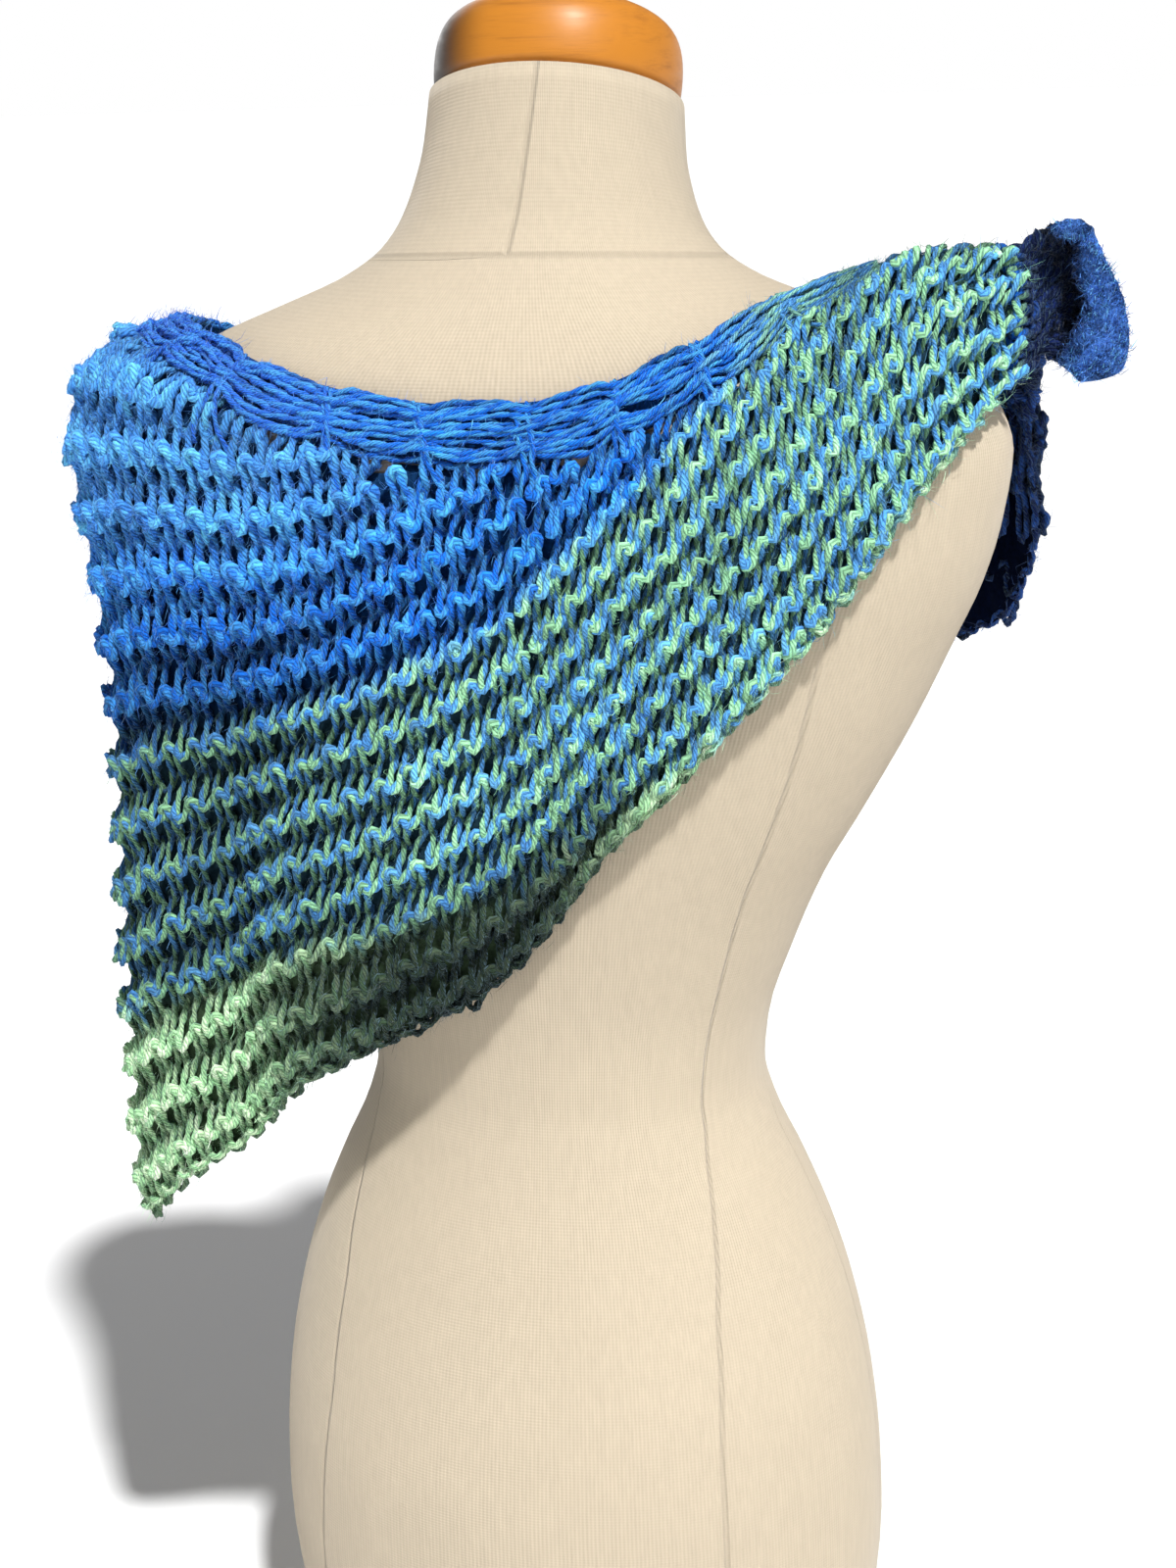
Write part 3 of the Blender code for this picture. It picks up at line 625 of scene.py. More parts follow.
def yarn_material():
    """One ply of wool yarn: its spun strands with painted shade in their grooves, streaks of
    fibre, and bloom with a painted highlight.
    """
    m = Finish(
        "marled_wool_yarn", "two-ply wool knitting yarn", 0.92,
        Sheen_Weight=0.22, Sheen_Roughness=0.40, Specular_IOR_Level=0.12,
        Sheen_Tint=(0.45, 0.75, 1.0, 1.0),
    )
    length, turn, _ = m.uv("yarn")
    place = m.place()
    slant = m.plus(m.times(turn, 4.0), m.math("DIVIDE", length, -SPUN_PITCH))
    phase = m.plus(slant, m.times(m.noise(place, 160.0), 1.1))
    strand = m.wave(phase, 1.0)
    angle = m.times(turn, 2 * math.pi)
    across = m.times(m.math("COSINE", angle), PLY_ROUND)
    depth = m.times(m.math("SINE", angle), PLY_ROUND)
    round_place = {0: m.times(length, 0.34), 1: across, 2: depth}
    streak = m.noise(m.add("CombineXYZ", round_place).outputs[0], 1900.0, 3.0, 0.65)
    # Painted shade: darker in the grooves between the spun strands; the streaks and the
    # broad patches are the wool's own uneven tone.
    tone = m.times(
        m.between(strand, -1.0, 0.2, 0.70, 1.18),
        m.between(streak, 0.32, 0.70, 0.74, 1.50, False),
        m.between(m.noise(place, 26.0, 3.0), 0.3, 0.7, 0.86, 1.22, False),
    )
    dyed = m.mix(1.0, m.read("ply"), m.grey(tone), "MULTIPLY")
    # Bloom: pale fibres along the streaks, lightened a little further toward pale blue as a
    # painted highlight.
    bloom = m.between(streak, 0.58, 0.78, 0.0, 0.10)
    dyed = m.mix(bloom, dyed, (0.60, 0.82, 1.0, 1.0), clamp_result=True)
    m.link(dyed, "Base Color")
    height = m.plus(m.between(strand, -1.0, 0.3), m.times(streak, 0.9))
    m.link(m.bump(height, 0.0006, 1.0), "Normal")
    return m.made


def cloth_material():
    """The back of the garter knit, deep between the loops: ribbed, and dark with painted
    shade.
    """
    m = Finish(
        "knit_backing_wool", "inner side of the garter knit, in shade", 0.95,
        Specular_IOR_Level=0.04,
    )
    along, ridge, _ = m.uv("cloth")
    rib = m.times(m.wave(along, STITCH / 2), m.wave(ridge, 0.5))
    fuzz = m.noise(m.place(), 600.0, 3.0, 0.6)
    ribbed = m.between(rib, -1.0, 1.0, 0.86, 1.08)
    m.dye(m.read("shaded_tint"), m.times(ribbed, m.between(fuzz, 0.3, 0.7, 0.7, 1.25)))
    m.link(m.bump(m.plus(rib, fuzz), 0.0008, 0.4), "Normal")
    return m.made


def fibre_material():
    """Stray wool fibres that stand off the yarn, paler than it."""
    m = Finish(
        "stray_wool_fibre", "loose mohair-like fibres", 0.8,
        Sheen_Weight=0.2, Specular_IOR_Level=0.25,
    )
    value = m.noise(m.place(), 260.0, 1.0)
    m.dye(m.read("ply"), m.between(value, 0.3, 0.7, 0.75, 1.25, False))
    return m.made


def jersey_material():
    """Cotton jersey over the form: fine wales, slub and sewn seams."""
    m = Finish(
        "cotton_jersey", "fine off-white cotton jersey", 0.9,
        Sheen_Weight=0.12, Sheen_Roughness=0.5, Specular_IOR_Level=0.2,
    )
    around, up, _ = m.uv("wales")
    course = m.times(m.wave(up, JERSEY_COURSE), 0.5)
    weave = m.times(m.plus(m.wave(around, JERSEY_WALE), course), 0.5)
    place = m.place()
    slub = m.noise(m.scaled(place, (1.0, 1.0, 0.12)), 420.0)
    cloud = m.noise(place, 9.0, 3.0)
    near = []
    for name in ("seams_neck", "seams_body"):
        for part in m.split(m.read(name, "Vector")):
            near.append(m.between(m.math("ABSOLUTE", part), 0.0, SEAM_HALF))
    seams = m.math("MINIMUM", *near)
    value = m.times(
        m.between(weave, -0.8, 0.8, 0.93, 1.03),
        m.between(slub, 0.3, 0.7, 0.965, 1.03, False),
        m.between(cloud, 0.3, 0.7, 0.965, 1.02, False),
        m.between(seams, 0.0, 1.0, 0.90, 1.0, False),
    )
    m.dye(tuple(linear(JERSEY)) + (1.0,), value)
    fine = m.bump(m.plus(weave, slub), 0.00025, 0.5)
    m.link(m.bump(seams, 0.0011, 0.8, Normal=fine), "Normal")
    return m.made


def wood_material():
    """Turned and varnished beech: long grain, and painted shade and reflection darkening its
    left side.
    """
    m = Finish(
        "varnished_wood", "turned beech under satin varnish", 0.40,
        Coat_Weight=0.10, Coat_Roughness=0.30, Specular_IOR_Level=0.26,
    )
    place = m.place()
    grain = m.noise(m.scaled(place, (0.5, 2.0, 9.0)), 24.0, 4.0, 0.62)
    fine = m.noise(m.scaled(place, (0.35, 2.0, 14.0)), 110.0, 3.0, 0.6)
    mixed = m.plus(m.times(grain, 0.7), m.times(fine, 0.3))
    light, dark = (tuple(linear(colour)) + (1.0,) for colour in (WOOD, WOOD_DARK))
    wood = m.mix(m.between(mixed, 0.46, 0.80), light, dark)
    # Painted shade and reflection: the wood darkens toward the cap's left side.
    m.dye(wood, m.between(m.split(place)[0], *CAP_SHADE_EDGE, CAP_SHADE, 1.0))
    m.link(m.bump(fine, 0.0002, 0.25), "Normal")
    m.link(m.between(grain, 0.3, 0.7, 0.36, 0.50, False), "Roughness")
    return m.made


def felt_material():
    """Felted navy wool of the knot's end: curled fibre, with painted shade that makes it
    black in its hollow.
    """
    m = Finish(
        "felted_navy_wool", "felted two-ply wool", 0.95,
        Sheen_Weight=0.12, Sheen_Roughness=0.4, Specular_IOR_Level=0.06,
        Sheen_Tint=(0.30, 0.50, 1.0, 1.0),
    )
    place = m.place()
    curl = m.noise(place, 520.0, 4.0, 0.7)
    shift = {0: place, 1: m.grey(m.times(curl, 0.004))}
    bent = m.add("VectorMath", shift, operation="ADD").outputs[0]
    strands = m.noise(m.scaled(bent, (1.0, 2.4, 1.0)), 900.0, 2.0, 0.6)
    mixed = m.plus(m.times(strands, 0.55), m.times(m.noise(place, 90.0, 3.0), 0.45))
    m.dye(m.read("ply"), m.between(mixed, 0.39, 0.63, 0.16, 2.0), clamp_result=True)
    fine = m.bump(strands, 0.0014, 0.9)
    m.link(m.bump(curl, 0.0032, 1.0, Normal=fine), "Normal")
    return m.made


def mesh_from(name, points, loops, totals, uvs, values, look):
    """A mesh object from arrays. uvs are per corner, values per point."""
    mesh = bpy.data.meshes.new(name)
    mesh.vertices.add(len(points))
    mesh.vertices.foreach_set("co", np.asarray(points, np.float32).ravel())
    mesh.loops.add(len(loops))
    mesh.loops.foreach_set("vertex_index", np.asarray(loops, np.int32))
    mesh.polygons.add(len(totals))
    starts = np.concatenate([[0], np.cumsum(totals)[:-1]]).astype(np.int32)
    mesh.polygons.foreach_set("loop_start", starts)
    mesh.polygons.foreach_set("loop_total", np.asarray(totals, np.int32))
    mesh.polygons.foreach_set("use_smooth", np.full(len(totals), True))
    mesh.update(calc_edges=True)
    for key, value in uvs.items():
        layer = mesh.uv_layers.new(name=key)
        layer.data.foreach_set("uv", np.asarray(value, np.float32).ravel())
    for key, value in values.items():
        if key.startswith("seams"):
            layer = mesh.attributes.new(key, "FLOAT_VECTOR", "POINT")
            layer.data.foreach_set("vector", np.asarray(value, np.float32).ravel())
        else:
            full = np.concatenate([value, np.ones((len(value), 1))], axis=1)
            layer = mesh.color_attributes.new(key, "FLOAT_COLOR", "POINT")
            layer.data.foreach_set("color", full.astype(np.float32).ravel())
    mesh.materials.append(look)
    made = bpy.data.objects.new(name, mesh)
    bpy.context.scene.collection.objects.link(made)
    return made


class Tubes:
    """Two-ply yarns gathered into one mesh, each ply with its own coordinates."""

    def __init__(self, sides=SIDES):
        self.sides = sides
        self.points, self.loops, self.totals = [], [], []
        self.yarn, self.bake, self.colour = [], [], []
        self.surface = []
        self.count = 0
        self.segments = 0

    def add(self, path, way, radius, ply_a, ply_b, start=0.0, fuzz=1.0):
        """One yarn along path: two plies wound round each other.

        way is the surface's outward way at each point."""
        ahead = np.gradient(path, axis=0)
        ahead /= np.linalg.norm(ahead, axis=1, keepdims=True) + 1e-12
        side = np.cross(ahead, way)
        side /= np.linalg.norm(side, axis=1, keepdims=True) + 1e-12
        up = np.cross(side, ahead)
        length = start + lengths_along(path)
        radius = np.broadcast_to(radius, len(path))
        fuzzy = np.broadcast_to(fuzz, len(path))[:, None]
        for ply, phase in ((ply_a, 0.0), (ply_b, math.pi)):
            turn = (2 * math.pi / TWIST * length + phase)[:, None]
            beside = side * np.cos(turn) + up * np.sin(turn)
            middle = path + beside * (PLY_OUT * radius)[:, None]
            lumps = np.sin(length / 0.0031 + 3 * np.sin(length / 0.011) + phase)
            size = PLY * radius * (1 + 0.10 * lumps)
            ply = np.broadcast_to(ply, (len(path), 3))
            self.ply(middle, side, up, size, length, ply)
            self.surface.append((middle, side, up, ahead, size[:, None], ply, fuzzy))

    def ply(self, path, side, up, size, length, colour):
        n, s = len(path), self.sides
        angle = 2 * math.pi * np.arange(s) / s
        ring = side[:, None] * np.cos(angle)[None, :, None]
        ring = ring + up[:, None] * np.sin(angle)[None, :, None]
        self.points.append((path[:, None] + ring * size[:, None, None]).reshape(-1, 3))
        self.loops.append((self.count + ring_quads(n, s)).ravel())
        self.totals.append(np.full((n - 1) * s, 4))
        u, step = ring_corners(length, s)
        self.yarn.append(np.stack([u, step / s], axis=-1).reshape(-1, 2))
        segment = self.segments + np.arange(n - 1)
        cell = segment // SAMPLES
        cells = np.broadcast_to(cell[:, None, None], u.shape)
        inside = (segment % SAMPLES / SAMPLES)[:, None, None]
        inside = np.broadcast_to(inside + np.array([0, 0, 1, 1]) / SAMPLES, u.shape)
        self.bake.append(np.stack([cells, inside, step / s], axis=-1).reshape(-1, 3))
        for at in (0, n - 1):
            end = self.count + at * s + np.arange(s)
            self.loops.append(end if at else end[::-1])
            self.totals.append(np.array([s]))
            self.yarn.append(np.column_stack([np.full(s, length[at]), np.zeros(s)]))
            small = 0.02 * np.column_stack([np.cos(angle), np.sin(angle)]) + 0.03
            self.bake.append(np.column_stack([np.full(s, cell[-1 if at else 0]), small]))
        self.colour.append(np.repeat(colour, s, axis=0))
        self.count += n * s
        self.segments += n - 1

    def bake_map(self):
        """Each stitch's length of yarn has its own cell of the map."""
        data = np.concatenate(self.bake)
        cells = int(data[:, 0].max()) + 1
        wide = max(1, math.ceil(math.sqrt(cells / 2.33)))
        tall = math.ceil(cells / wide)
        u = (data[:, 0] % wide + 0.04 + 0.92 * data[:, 1]) / wide
        v = (data[:, 0] // wide + 0.06 + 0.88 * data[:, 2]) / tall
        return np.column_stack([u, v])

    def build(self, name, look):
        parts = [np.concatenate(part) for part in (self.points, self.loops, self.totals)]
        uvs = {"OFBake": self.bake_map(), "yarn": np.concatenate(self.yarn)}
        return mesh_from(name, *parts, uvs, {"ply": np.concatenate(self.colour)}, look)


class Rows:
    """Places on the shawl by length along a garter row and by ridge count."""

    anchor = 15.5
    ridge_step = 0.25

    def __init__(self, drape):
        self.drape = drape
        self.ridges = np.arange(-1.0, 21.01, self.ridge_step)
        self.lengths = np.linspace(-1.25, 1.25, 501)
        self.table = np.zeros((len(self.ridges), len(self.lengths)))
        column = int(np.argmin(np.abs(drape.station - self.anchor)))
        for i, ridge in enumerate(self.ridges):
            held = np.clip(ridge, drape.hem_ridge, drape.neck_ridge)
            points, _ = drape.sample(drape.station, self.share(drape.station, held))
            along = lengths_along(points)
            self.table[i] = np.interp(self.lengths, along - along[column], drape.station)

    def share(self, station, ridge):
        """The share of the height at which a ridge lies."""
        low = self.drape.at("hem_ridge", station)
        high = self.drape.at("neck_ridge", station)
        top = border_width(station) / self.drape.at("drop", station)
        return 1 - (ridge - low) / (high - low) * (1 - top)

    def station(self, x, ridge):
        step = self.lengths[1] - self.lengths[0]
        a = (ridge - self.ridges[0]) / self.ridge_step
        a = np.clip(a, 0, len(self.ridges) - 1.001)
        b = np.clip((x - self.lengths[0]) / step, 0, len(self.lengths) - 1.001)
        return bilinear(self.table, a, b)

    def place(self, x, ridge, lift):
        """Points lift above the inner face, the outward ways, and the stations."""
        x, ridge = np.broadcast_arrays(np.asarray(x, float), np.asarray(ridge, float))
        station = self.station(x, ridge)
        where, out = self.drape.sample(station, self.share(station, ridge))
        return where + out * np.asarray(lift)[..., None], out, station

    def reach(self, ridge):
        """The lengths along a course where the shawl's panel has it."""
        station = self.station(self.lengths, np.full(len(self.lengths), ridge))
        inside = self.drape.at("hem_ridge", station) - 0.05 <= ridge
        inside &= ridge <= self.drape.at("neck_ridge", station) + 0.42
        inside &= (station > 0.03) & (station < 28.97)
        found = np.flatnonzero(inside)
        return (self.lengths[found[0]], self.lengths[found[-1]]) if len(found) > 3 else None


def wavering(rng, at, step, size):
    """A smooth seeded wander of about that size, with a knot every step."""
    count = int((at.max() - at.min()) / step) + 4
    values = rng.normal(0, size, count)
    knots = at.min() - step + step * np.arange(count)
    return smooth_through(knots, values, at)


def wander3(rng, at, step, size):
    """Three wanders at once, as columns."""
    return np.stack([wavering(rng, at, step, size) for _ in range(3)], axis=1)


def plies_at(ridge, station, chance):
    """The two plies' colours by place, with painted shade on the back's lower marl and
    painted light on the felted left shoulder. chance shifts each stitch a little.
    """
    names = (TIP, TIP_DEEP, MINT, MINT_DEEP, BLUE, BLUE_LIGHT, SKY, NAVY, NAVY_LIGHT)
    tip, tip_b, mint, mint_b, blue, blue_b, sky, navy, navy_b = map(linear, names)
    ridge = ridge + 0.16 * chance[:, 0]
    blue_from = np.interp(station, [5, 10, 15, 18], [7.4, 7.6, 7.9, 8.0])
    tip_to = np.interp(station, [6, 9, 12, 15], [0, 1.7, 2.9, 3.4])
    to_marl = ease(-0.25, 0.25, ridge - tip_to)[:, None]
    to_blue = ease(-0.3, 0.3, ridge - blue_from)[:, None]
    to_navy = ease(-1.0, 1.0, ridge + 0.35 * (station - 22) - 16.0)[:, None]
    pale = ease(-0.6, 1.6, chance[:, 1])[:, None]
    marl_a = blend(mint, mint_b, 0.3 * pale)
    marl_b = blue * (0.58 - 0.30 * pale) + sky * (0.24 + 0.30 * pale) + mint_b * 0.18
    blue_a = blend(blue, blue_b, 0.4 * pale)
    first = blend(blend(blend(tip, marl_a, to_marl), blue_b, to_blue), navy_b, to_navy)
    second = blend(blend(blend(tip_b, marl_b, to_marl), blue_a, to_blue), navy, to_navy)
    # Painted light: the felted blue over the left shoulder is lightened toward sky blue.
    right = 1 - ease(16, 19, station)
    lit = (felted(station, ridge) * ease(9.5, 12.5, ridge) * right)[:, None]
    first = blend(first, 1.12 * blend(blue_b, sky, 0.6), 0.75 * lit)
    second = blend(second, blend(sky, blue_b, 0.55), 0.70 * lit)
    second = blend(second, linear(VIOLET), 0.16 * lit)
    # Painted shade: the lower marl between the back's middle and its tip is darkened, where
    # the cloth turns from the light.
    deep = ease(10.0, 13.0, station) * (1 - ease(17, 19, station))
    deep = deep * (1 - ease(8.8, 11.0, ridge)) * to_marl[:, 0]
    value = ((1 + 0.14 * chance[:, 2]) * (1 - 0.50 * deep))[:, None]
    return np.clip(first * value, 0, 1), np.clip(second * value, 0, 1)


def felted(station, ridge):
    """How felted the wool is: most over the left shoulder, and on the front."""
    left = ease(8.5, 12.5, station) * (1 - ease(19.0, 23.0, station))
    near_knot = ease(24.0, 27.0, station)
    return np.maximum(left * ease(7.5, 10.5, ridge), 0.8 * near_knot)


def hem_shade(station, share):
    """The back hem curls under between the middle and the tip, out of the light."""
    across = np.exp(-(((station - 10.0) / 2.6) ** 4))
    return 1 - 0.96 * across * ease(0.72, 0.89, share)


def tie_share(along):
    return 0.5 + 0.5 * np.cos(2 * math.pi * along / TIE_SPACING)


def eyelet_push(rows, x, ridge):
    """How far, in ridges, a place under the border moves down at an eyelet."""
    d = rows.drape
    station = rows.station(x, ridge)
    below = d.at("neck_ridge", station) - ridge
    opening = ease(0.72, 1.0, 1 - tie_share(d.at("along", station)))
    return 0.20 * opening * ease(3.6, 4.8, station) * np.exp(-((below / 0.5) ** 2))


def course(rows, ridge, knit, rng):
    """One course of loops: path, outward ways, plies, stations, radius, fuzz."""
    reach = rows.reach(ridge)
    if reach is None:
        return None
    first = math.ceil(reach[0] / STITCH * SAMPLES)
    last = math.floor(reach[1] / STITCH * SAMPLES)
    if last - first < 2 * SAMPLES:
        return None
    tau = np.arange(first, last + 1) / SAMPLES
    turn = 2 * math.pi * tau
    slack = wavering(rng, tau, 1.0, 0.13)
    reach_k = LOOP_REACH * (1 + wavering(rng, tau, 1.0, 0.10))
    x = tau * STITCH + LOOP_LEAN * STITCH * np.sin(2 * turn) * (1 + slack)
    x = x + LOOP_PAIR * STITCH * np.sin(turn) * (1 if knit else -1)
    x = x + wavering(rng, tau, 1.0, 0.0010)
    k = ridge - reach_k * np.cos(turn) + wavering(rng, tau, 1.3, 0.035)
    k = k + 0.045 * np.sin(turn) * (-1 if knit else 1)
    k = k - eyelet_push(rows, x, k)
    station = rows.station(x, k)
    soft = felted(station, k) * (station < 20)
    swing = LOOP_DEPTH * np.cos(turn) * (1 + slack) * (1 - 0.35 * soft)
    lift = LOOP_LIFT + (-swing if knit else swing)
    lift = lift + wavering(rng, tau, 1.5, 0.0006)
    over = k - rows.drape.at("neck_ridge", station)
    tucked = ease(-0.10, 0.16, over)
    lift = blend(lift, 0.0016, tucked) * (1 - 0.42 * ease(24.0, 26.0, station))
    k = k - np.clip(over - 0.35, 0, None)
    path, way, station = rows.place(x, k, lift)
    ply_a, ply_b = plies_at(k, station, wander3(rng, tau, 1.0, 1.0))
    soft = felted(station, k)
    floor = 0.30 + 0.22 * soft * (station < 20) + 0.23 * (1 - ease(3.0, 6.0, station))
    floor = floor + 0.09 * np.exp(-(((station - 9.5) / 2.0) ** 2))
    shade = floor + (1.04 - floor) * ease(0.0012, 0.0102, lift)
    shade = shade * (1 - 0.5 * tucked) * hem_shade(station, rows.share(station, k))
    plies = ply_a * shade[:, None], ply_b * shade[:, None]
    crest = 0.92 + 0.24 * ease(0.0060, 0.0100, lift)
    radius = YARN * crest * (1 + 0.36 * soft) * (1 + wavering(rng, tau, 0.8, 0.06))
    fuzz = (1 + 3.2 * soft) * (1 - 0.4 * ease(18.0, 20.0, station))
    return path, way, *plies, station, radius, fuzz


def knit_panels(rows, rng):
    """The loops of the whole shawl, in pieces by height and side."""
    made = {}
    for number in range(2 * RIDGES):
        ridge, knit = 0.25 + 0.5 * number, number % 2 == 0
        found = course(rows, ridge, knit, rng)
        if found is None:
            continue
        path, way, ply_a, ply_b, station, radius, fuzz = found
        for name, low, high in YARN_PIECES:
            runs = np.flatnonzero((station >= low) & (station < high))
            if len(runs) < 2 * SAMPLES:
                continue
            run = slice(runs[0], min(runs[-1] + 2, len(path)))
            key = f"{name}_{'low' if ridge < LOW_RIDGES else 'high'}"
            tubes = made.setdefault(key, Tubes(4 if name == "front" else SIDES))
            yarn = [part[run] for part in (path, way, radius, ply_a, ply_b)]
            tubes.add(*yarn, rng.uniform(0, TWIST), fuzz[run])
        inner_loops(rows, path, way, station, radius, rng, made)
    return {f"knit_{key}": tubes for key, tubes in made.items()}


def inner_loops(rows, path, way, station, radius, rng, made):
    """The front's inner side by the right shoulder, where it hangs clear."""
    out = rows.drape.distance(path) - 1
    runs = np.flatnonzero((station > 22.0) & (out * 0.2 > 0.009))
    if len(runs) < 2 * SAMPLES or runs[-1] - runs[0] > len(runs) + 4:
        return
    run = slice(runs[0], runs[-1])
    where = path[run] - way[run] * 0.0068
    navy, pale = linear(NAVY), linear(NAVY_LIGHT) * 0.9
    tubes = made.setdefault("front_inner", Tubes(4))
    tubes.add(where, -way[run], radius[run], pale, navy, rng.uniform(0, TWIST), 3.5)


def camera():
    """Stands where the photograph was taken from, with its slight roll."""
    azimuth, pitch, roll = map(math.radians, CAMERA_TURNS)
    across, back = math.cos(azimuth), math.sin(azimuth)
    flat = math.cos(pitch)
    right = Vector((across, back, 0))
    ahead = Vector((-back * flat, across * flat, -math.sin(pitch)))
    up = right.cross(ahead)
    place = Vector((back * CAMERA_AWAY, -across * CAMERA_AWAY, CAMERA_HEIGHT))
    place = place + right * CAMERA_ASIDE
    tilted_right = right * math.cos(roll) + up * math.sin(roll)
    tilted_up = up * math.cos(roll) - right * math.sin(roll)
    turned = Matrix((tilted_right, tilted_up, -ahead)).transposed()
    data = bpy.data.cameras.new("camera")
    data.lens = CAMERA_LENS
    data.sensor_width = 36
    data.clip_start = 0.05
    made = bpy.data.objects.new("camera", data)
    made.matrix_world = Matrix.Translation(place) @ turned.to_4x4()
    bpy.context.scene.collection.objects.link(made)
    bpy.context.scene.camera = made


def lights():
    sun = bpy.data.lights.new("sun", "SUN")
    sun.angle = math.radians(SUN_ANGLE)
    sun.energy = SUN_STRENGTH
    box = bpy.data.lights.new("soft_box", "AREA")
    box.size = BOX_WIDTH
    box.energy = BOX_POWER
    for data, place, aim in ((sun, SUN_FROM, (0, 0, 0)), (box, BOX_AT, (0, 0, 0.55))):
        made = bpy.data.objects.new(data.name, data)
        made.location = place
        turn = (Vector(aim) - Vector(place)).to_track_quat("-Z", "Y")
        made.rotation_euler = turn.to_euler()
        bpy.context.scene.collection.objects.link(made)
    world = bpy.data.worlds.new("studio")
    world.use_nodes = True
    n = Nodes(world.node_tree)
    height = n.split(n.add("TexCoord").outputs["Generated"])[2]
    background = n.tree.nodes["Background"].inputs
    strength = n.between(height, 0.03, 0.26, SKY_LOW, SKY_HIGH)
    n.tree.links.new(strength, background["Strength"])
    background["Color"].default_value = (1.0, 1.0, 1.0, 1.0)
    bpy.context.scene.world = world
    bpy.context.scene.view_settings.view_transform = "Standard"


def stage():
    bpy.ops.mesh.primitive_circle_add(vertices=96, radius=60.0, fill_type="NGON")
    floor = bpy.context.object
    floor.name = "studio_floor"
    look = Finish(
        "studio_floor", "plain pale matt floor", 0.9, Base_Color=(0.86, 0.86, 0.86, 1.0)
    )
    floor.data.materials.append(look.made)


def hem_cord(rows, rng):
    """The uneven cast edge: yarn looped along the hem from knot to knot."""
    d = rows.drape
    along = lengths_along(d.sample(d.station, np.ones(d.columns))[0])
    tubes = Tubes()
    at = np.arange(0.004, along[-1] - 0.004, 0.0016)
    for twist, shift in ((0.0, 0.0), (2.4, 0.0045)):
        moved = at + shift + wavering(rng, at, 0.014, 0.0012)
        station = np.interp(moved, along, d.station)
        turn = 2 * math.pi * at / HEM_LOOP + twist + wavering(rng, at, 0.03, 0.55)
        wide = 0.0020 * (1 + wavering(rng, at, 0.02, 0.35))
        down = 1 + (wide * np.cos(turn) - 0.0012) / d.at("drop", station)
        where, way = d.sample(station, down)
        lift = 0.0046 + 0.0024 * np.sin(turn) + wavering(rng, at, 0.02, 0.0006)
        lift = lift * (1 - 0.78 * ease(22.0, 24.5, station))
        low = d.at("hem_ridge", station)
        ply_a, ply_b = plies_at(low, station, wander3(rng, at, 0.013, 1.0))
        shade = hem_shade(station, np.ones(len(at)))[:, None]
        size = YARN * 0.86 * (1 + wavering(rng, at, 0.012, 0.09))
        where = where + way * lift[:, None]
        tubes.add(where, way, size, ply_a * shade, ply_b * shade, 0.0, 1.6)
    return tubes


def border_plies(station, chance):
    """Blue by the neckline, violet-blue on the left, marled near the knot."""
    names = (BLUE, BLUE_LIGHT, VIOLET, MINT, NAVY, NAVY_LIGHT)
    blue, pale, violet, mint, navy, navy_b = map(linear, names)
    to_blue = ease(4.2, 5.9, station + 0.3 * chance[:, 0])[:, None]
    left = (ease(9.5, 13.5, station) * (1 - ease(15.5, 18.0, station)))[:, None]
    to_navy = ease(18.0, 21.0, station)[:, None]
    marl = 0.45 * blue + 0.35 * pale + 0.20 * mint
    first = blend(blend(pale, mint, 0.8), blend(pale, violet, 0.45 * left), to_blue)
    second = blend(marl, blend(blue, violet, 0.5 * left), to_blue)
    value = (1 + 0.12 * chance[:, 2])[:, None]
    first, second = blend(first, navy_b, to_navy), blend(second, navy, to_navy)
    return np.clip(first * value, 0, 1), np.clip(second * value, 0, 1)


def border_strands(rows, rng):
    """Long strands along the neckline, drawn together at each tie."""
    d = rows.drape
    tubes = Tubes(4)
    at = np.arange(float(d.at("along", 2.2)), d.along[-1] - 0.004, 0.0038)
    station = np.interp(at, d.along, d.station)
    pull = tie_share(at) ** 3
    soft = felted(station, np.full(len(at), 12.0))
    for share, lift in STRANDS:
        centre = 0.46 + (share - 0.46) * (1 - 0.34 * pull)
        centre = centre + wavering(rng, at, 0.024, 0.050)
        band = centre * border_width(station) / d.at("drop", station)
        high = lift + 0.0010 * pull + wavering(rng, at, 0.024, 0.0008)
        high = high * (1 - 0.5 * ease(15.8, 17.2, station) * (1 - ease(20.0, 22.0, station)))
        high = high * (1 - 0.6 * (1 - ease(2.4, 4.0, station)))
        where, way = d.sample(station, band)
        ply_a, ply_b = border_plies(station, wander3(rng, at, 0.02, 1.0))
        size = STRAND * (1 + wavering(rng, at, 0.012, 0.13)) * (1 + 0.15 * soft)
        shade = (0.50 + 0.50 * ease(0.0022, 0.0058, high))[:, None]
        where = where + way * high[:, None]
        start = rng.uniform(0, TWIST)
        tubes.add(where, way, size, ply_a * shade, ply_b * shade, start, 1.4 + soft)
    ties(rows, rng, tubes)
    return tubes


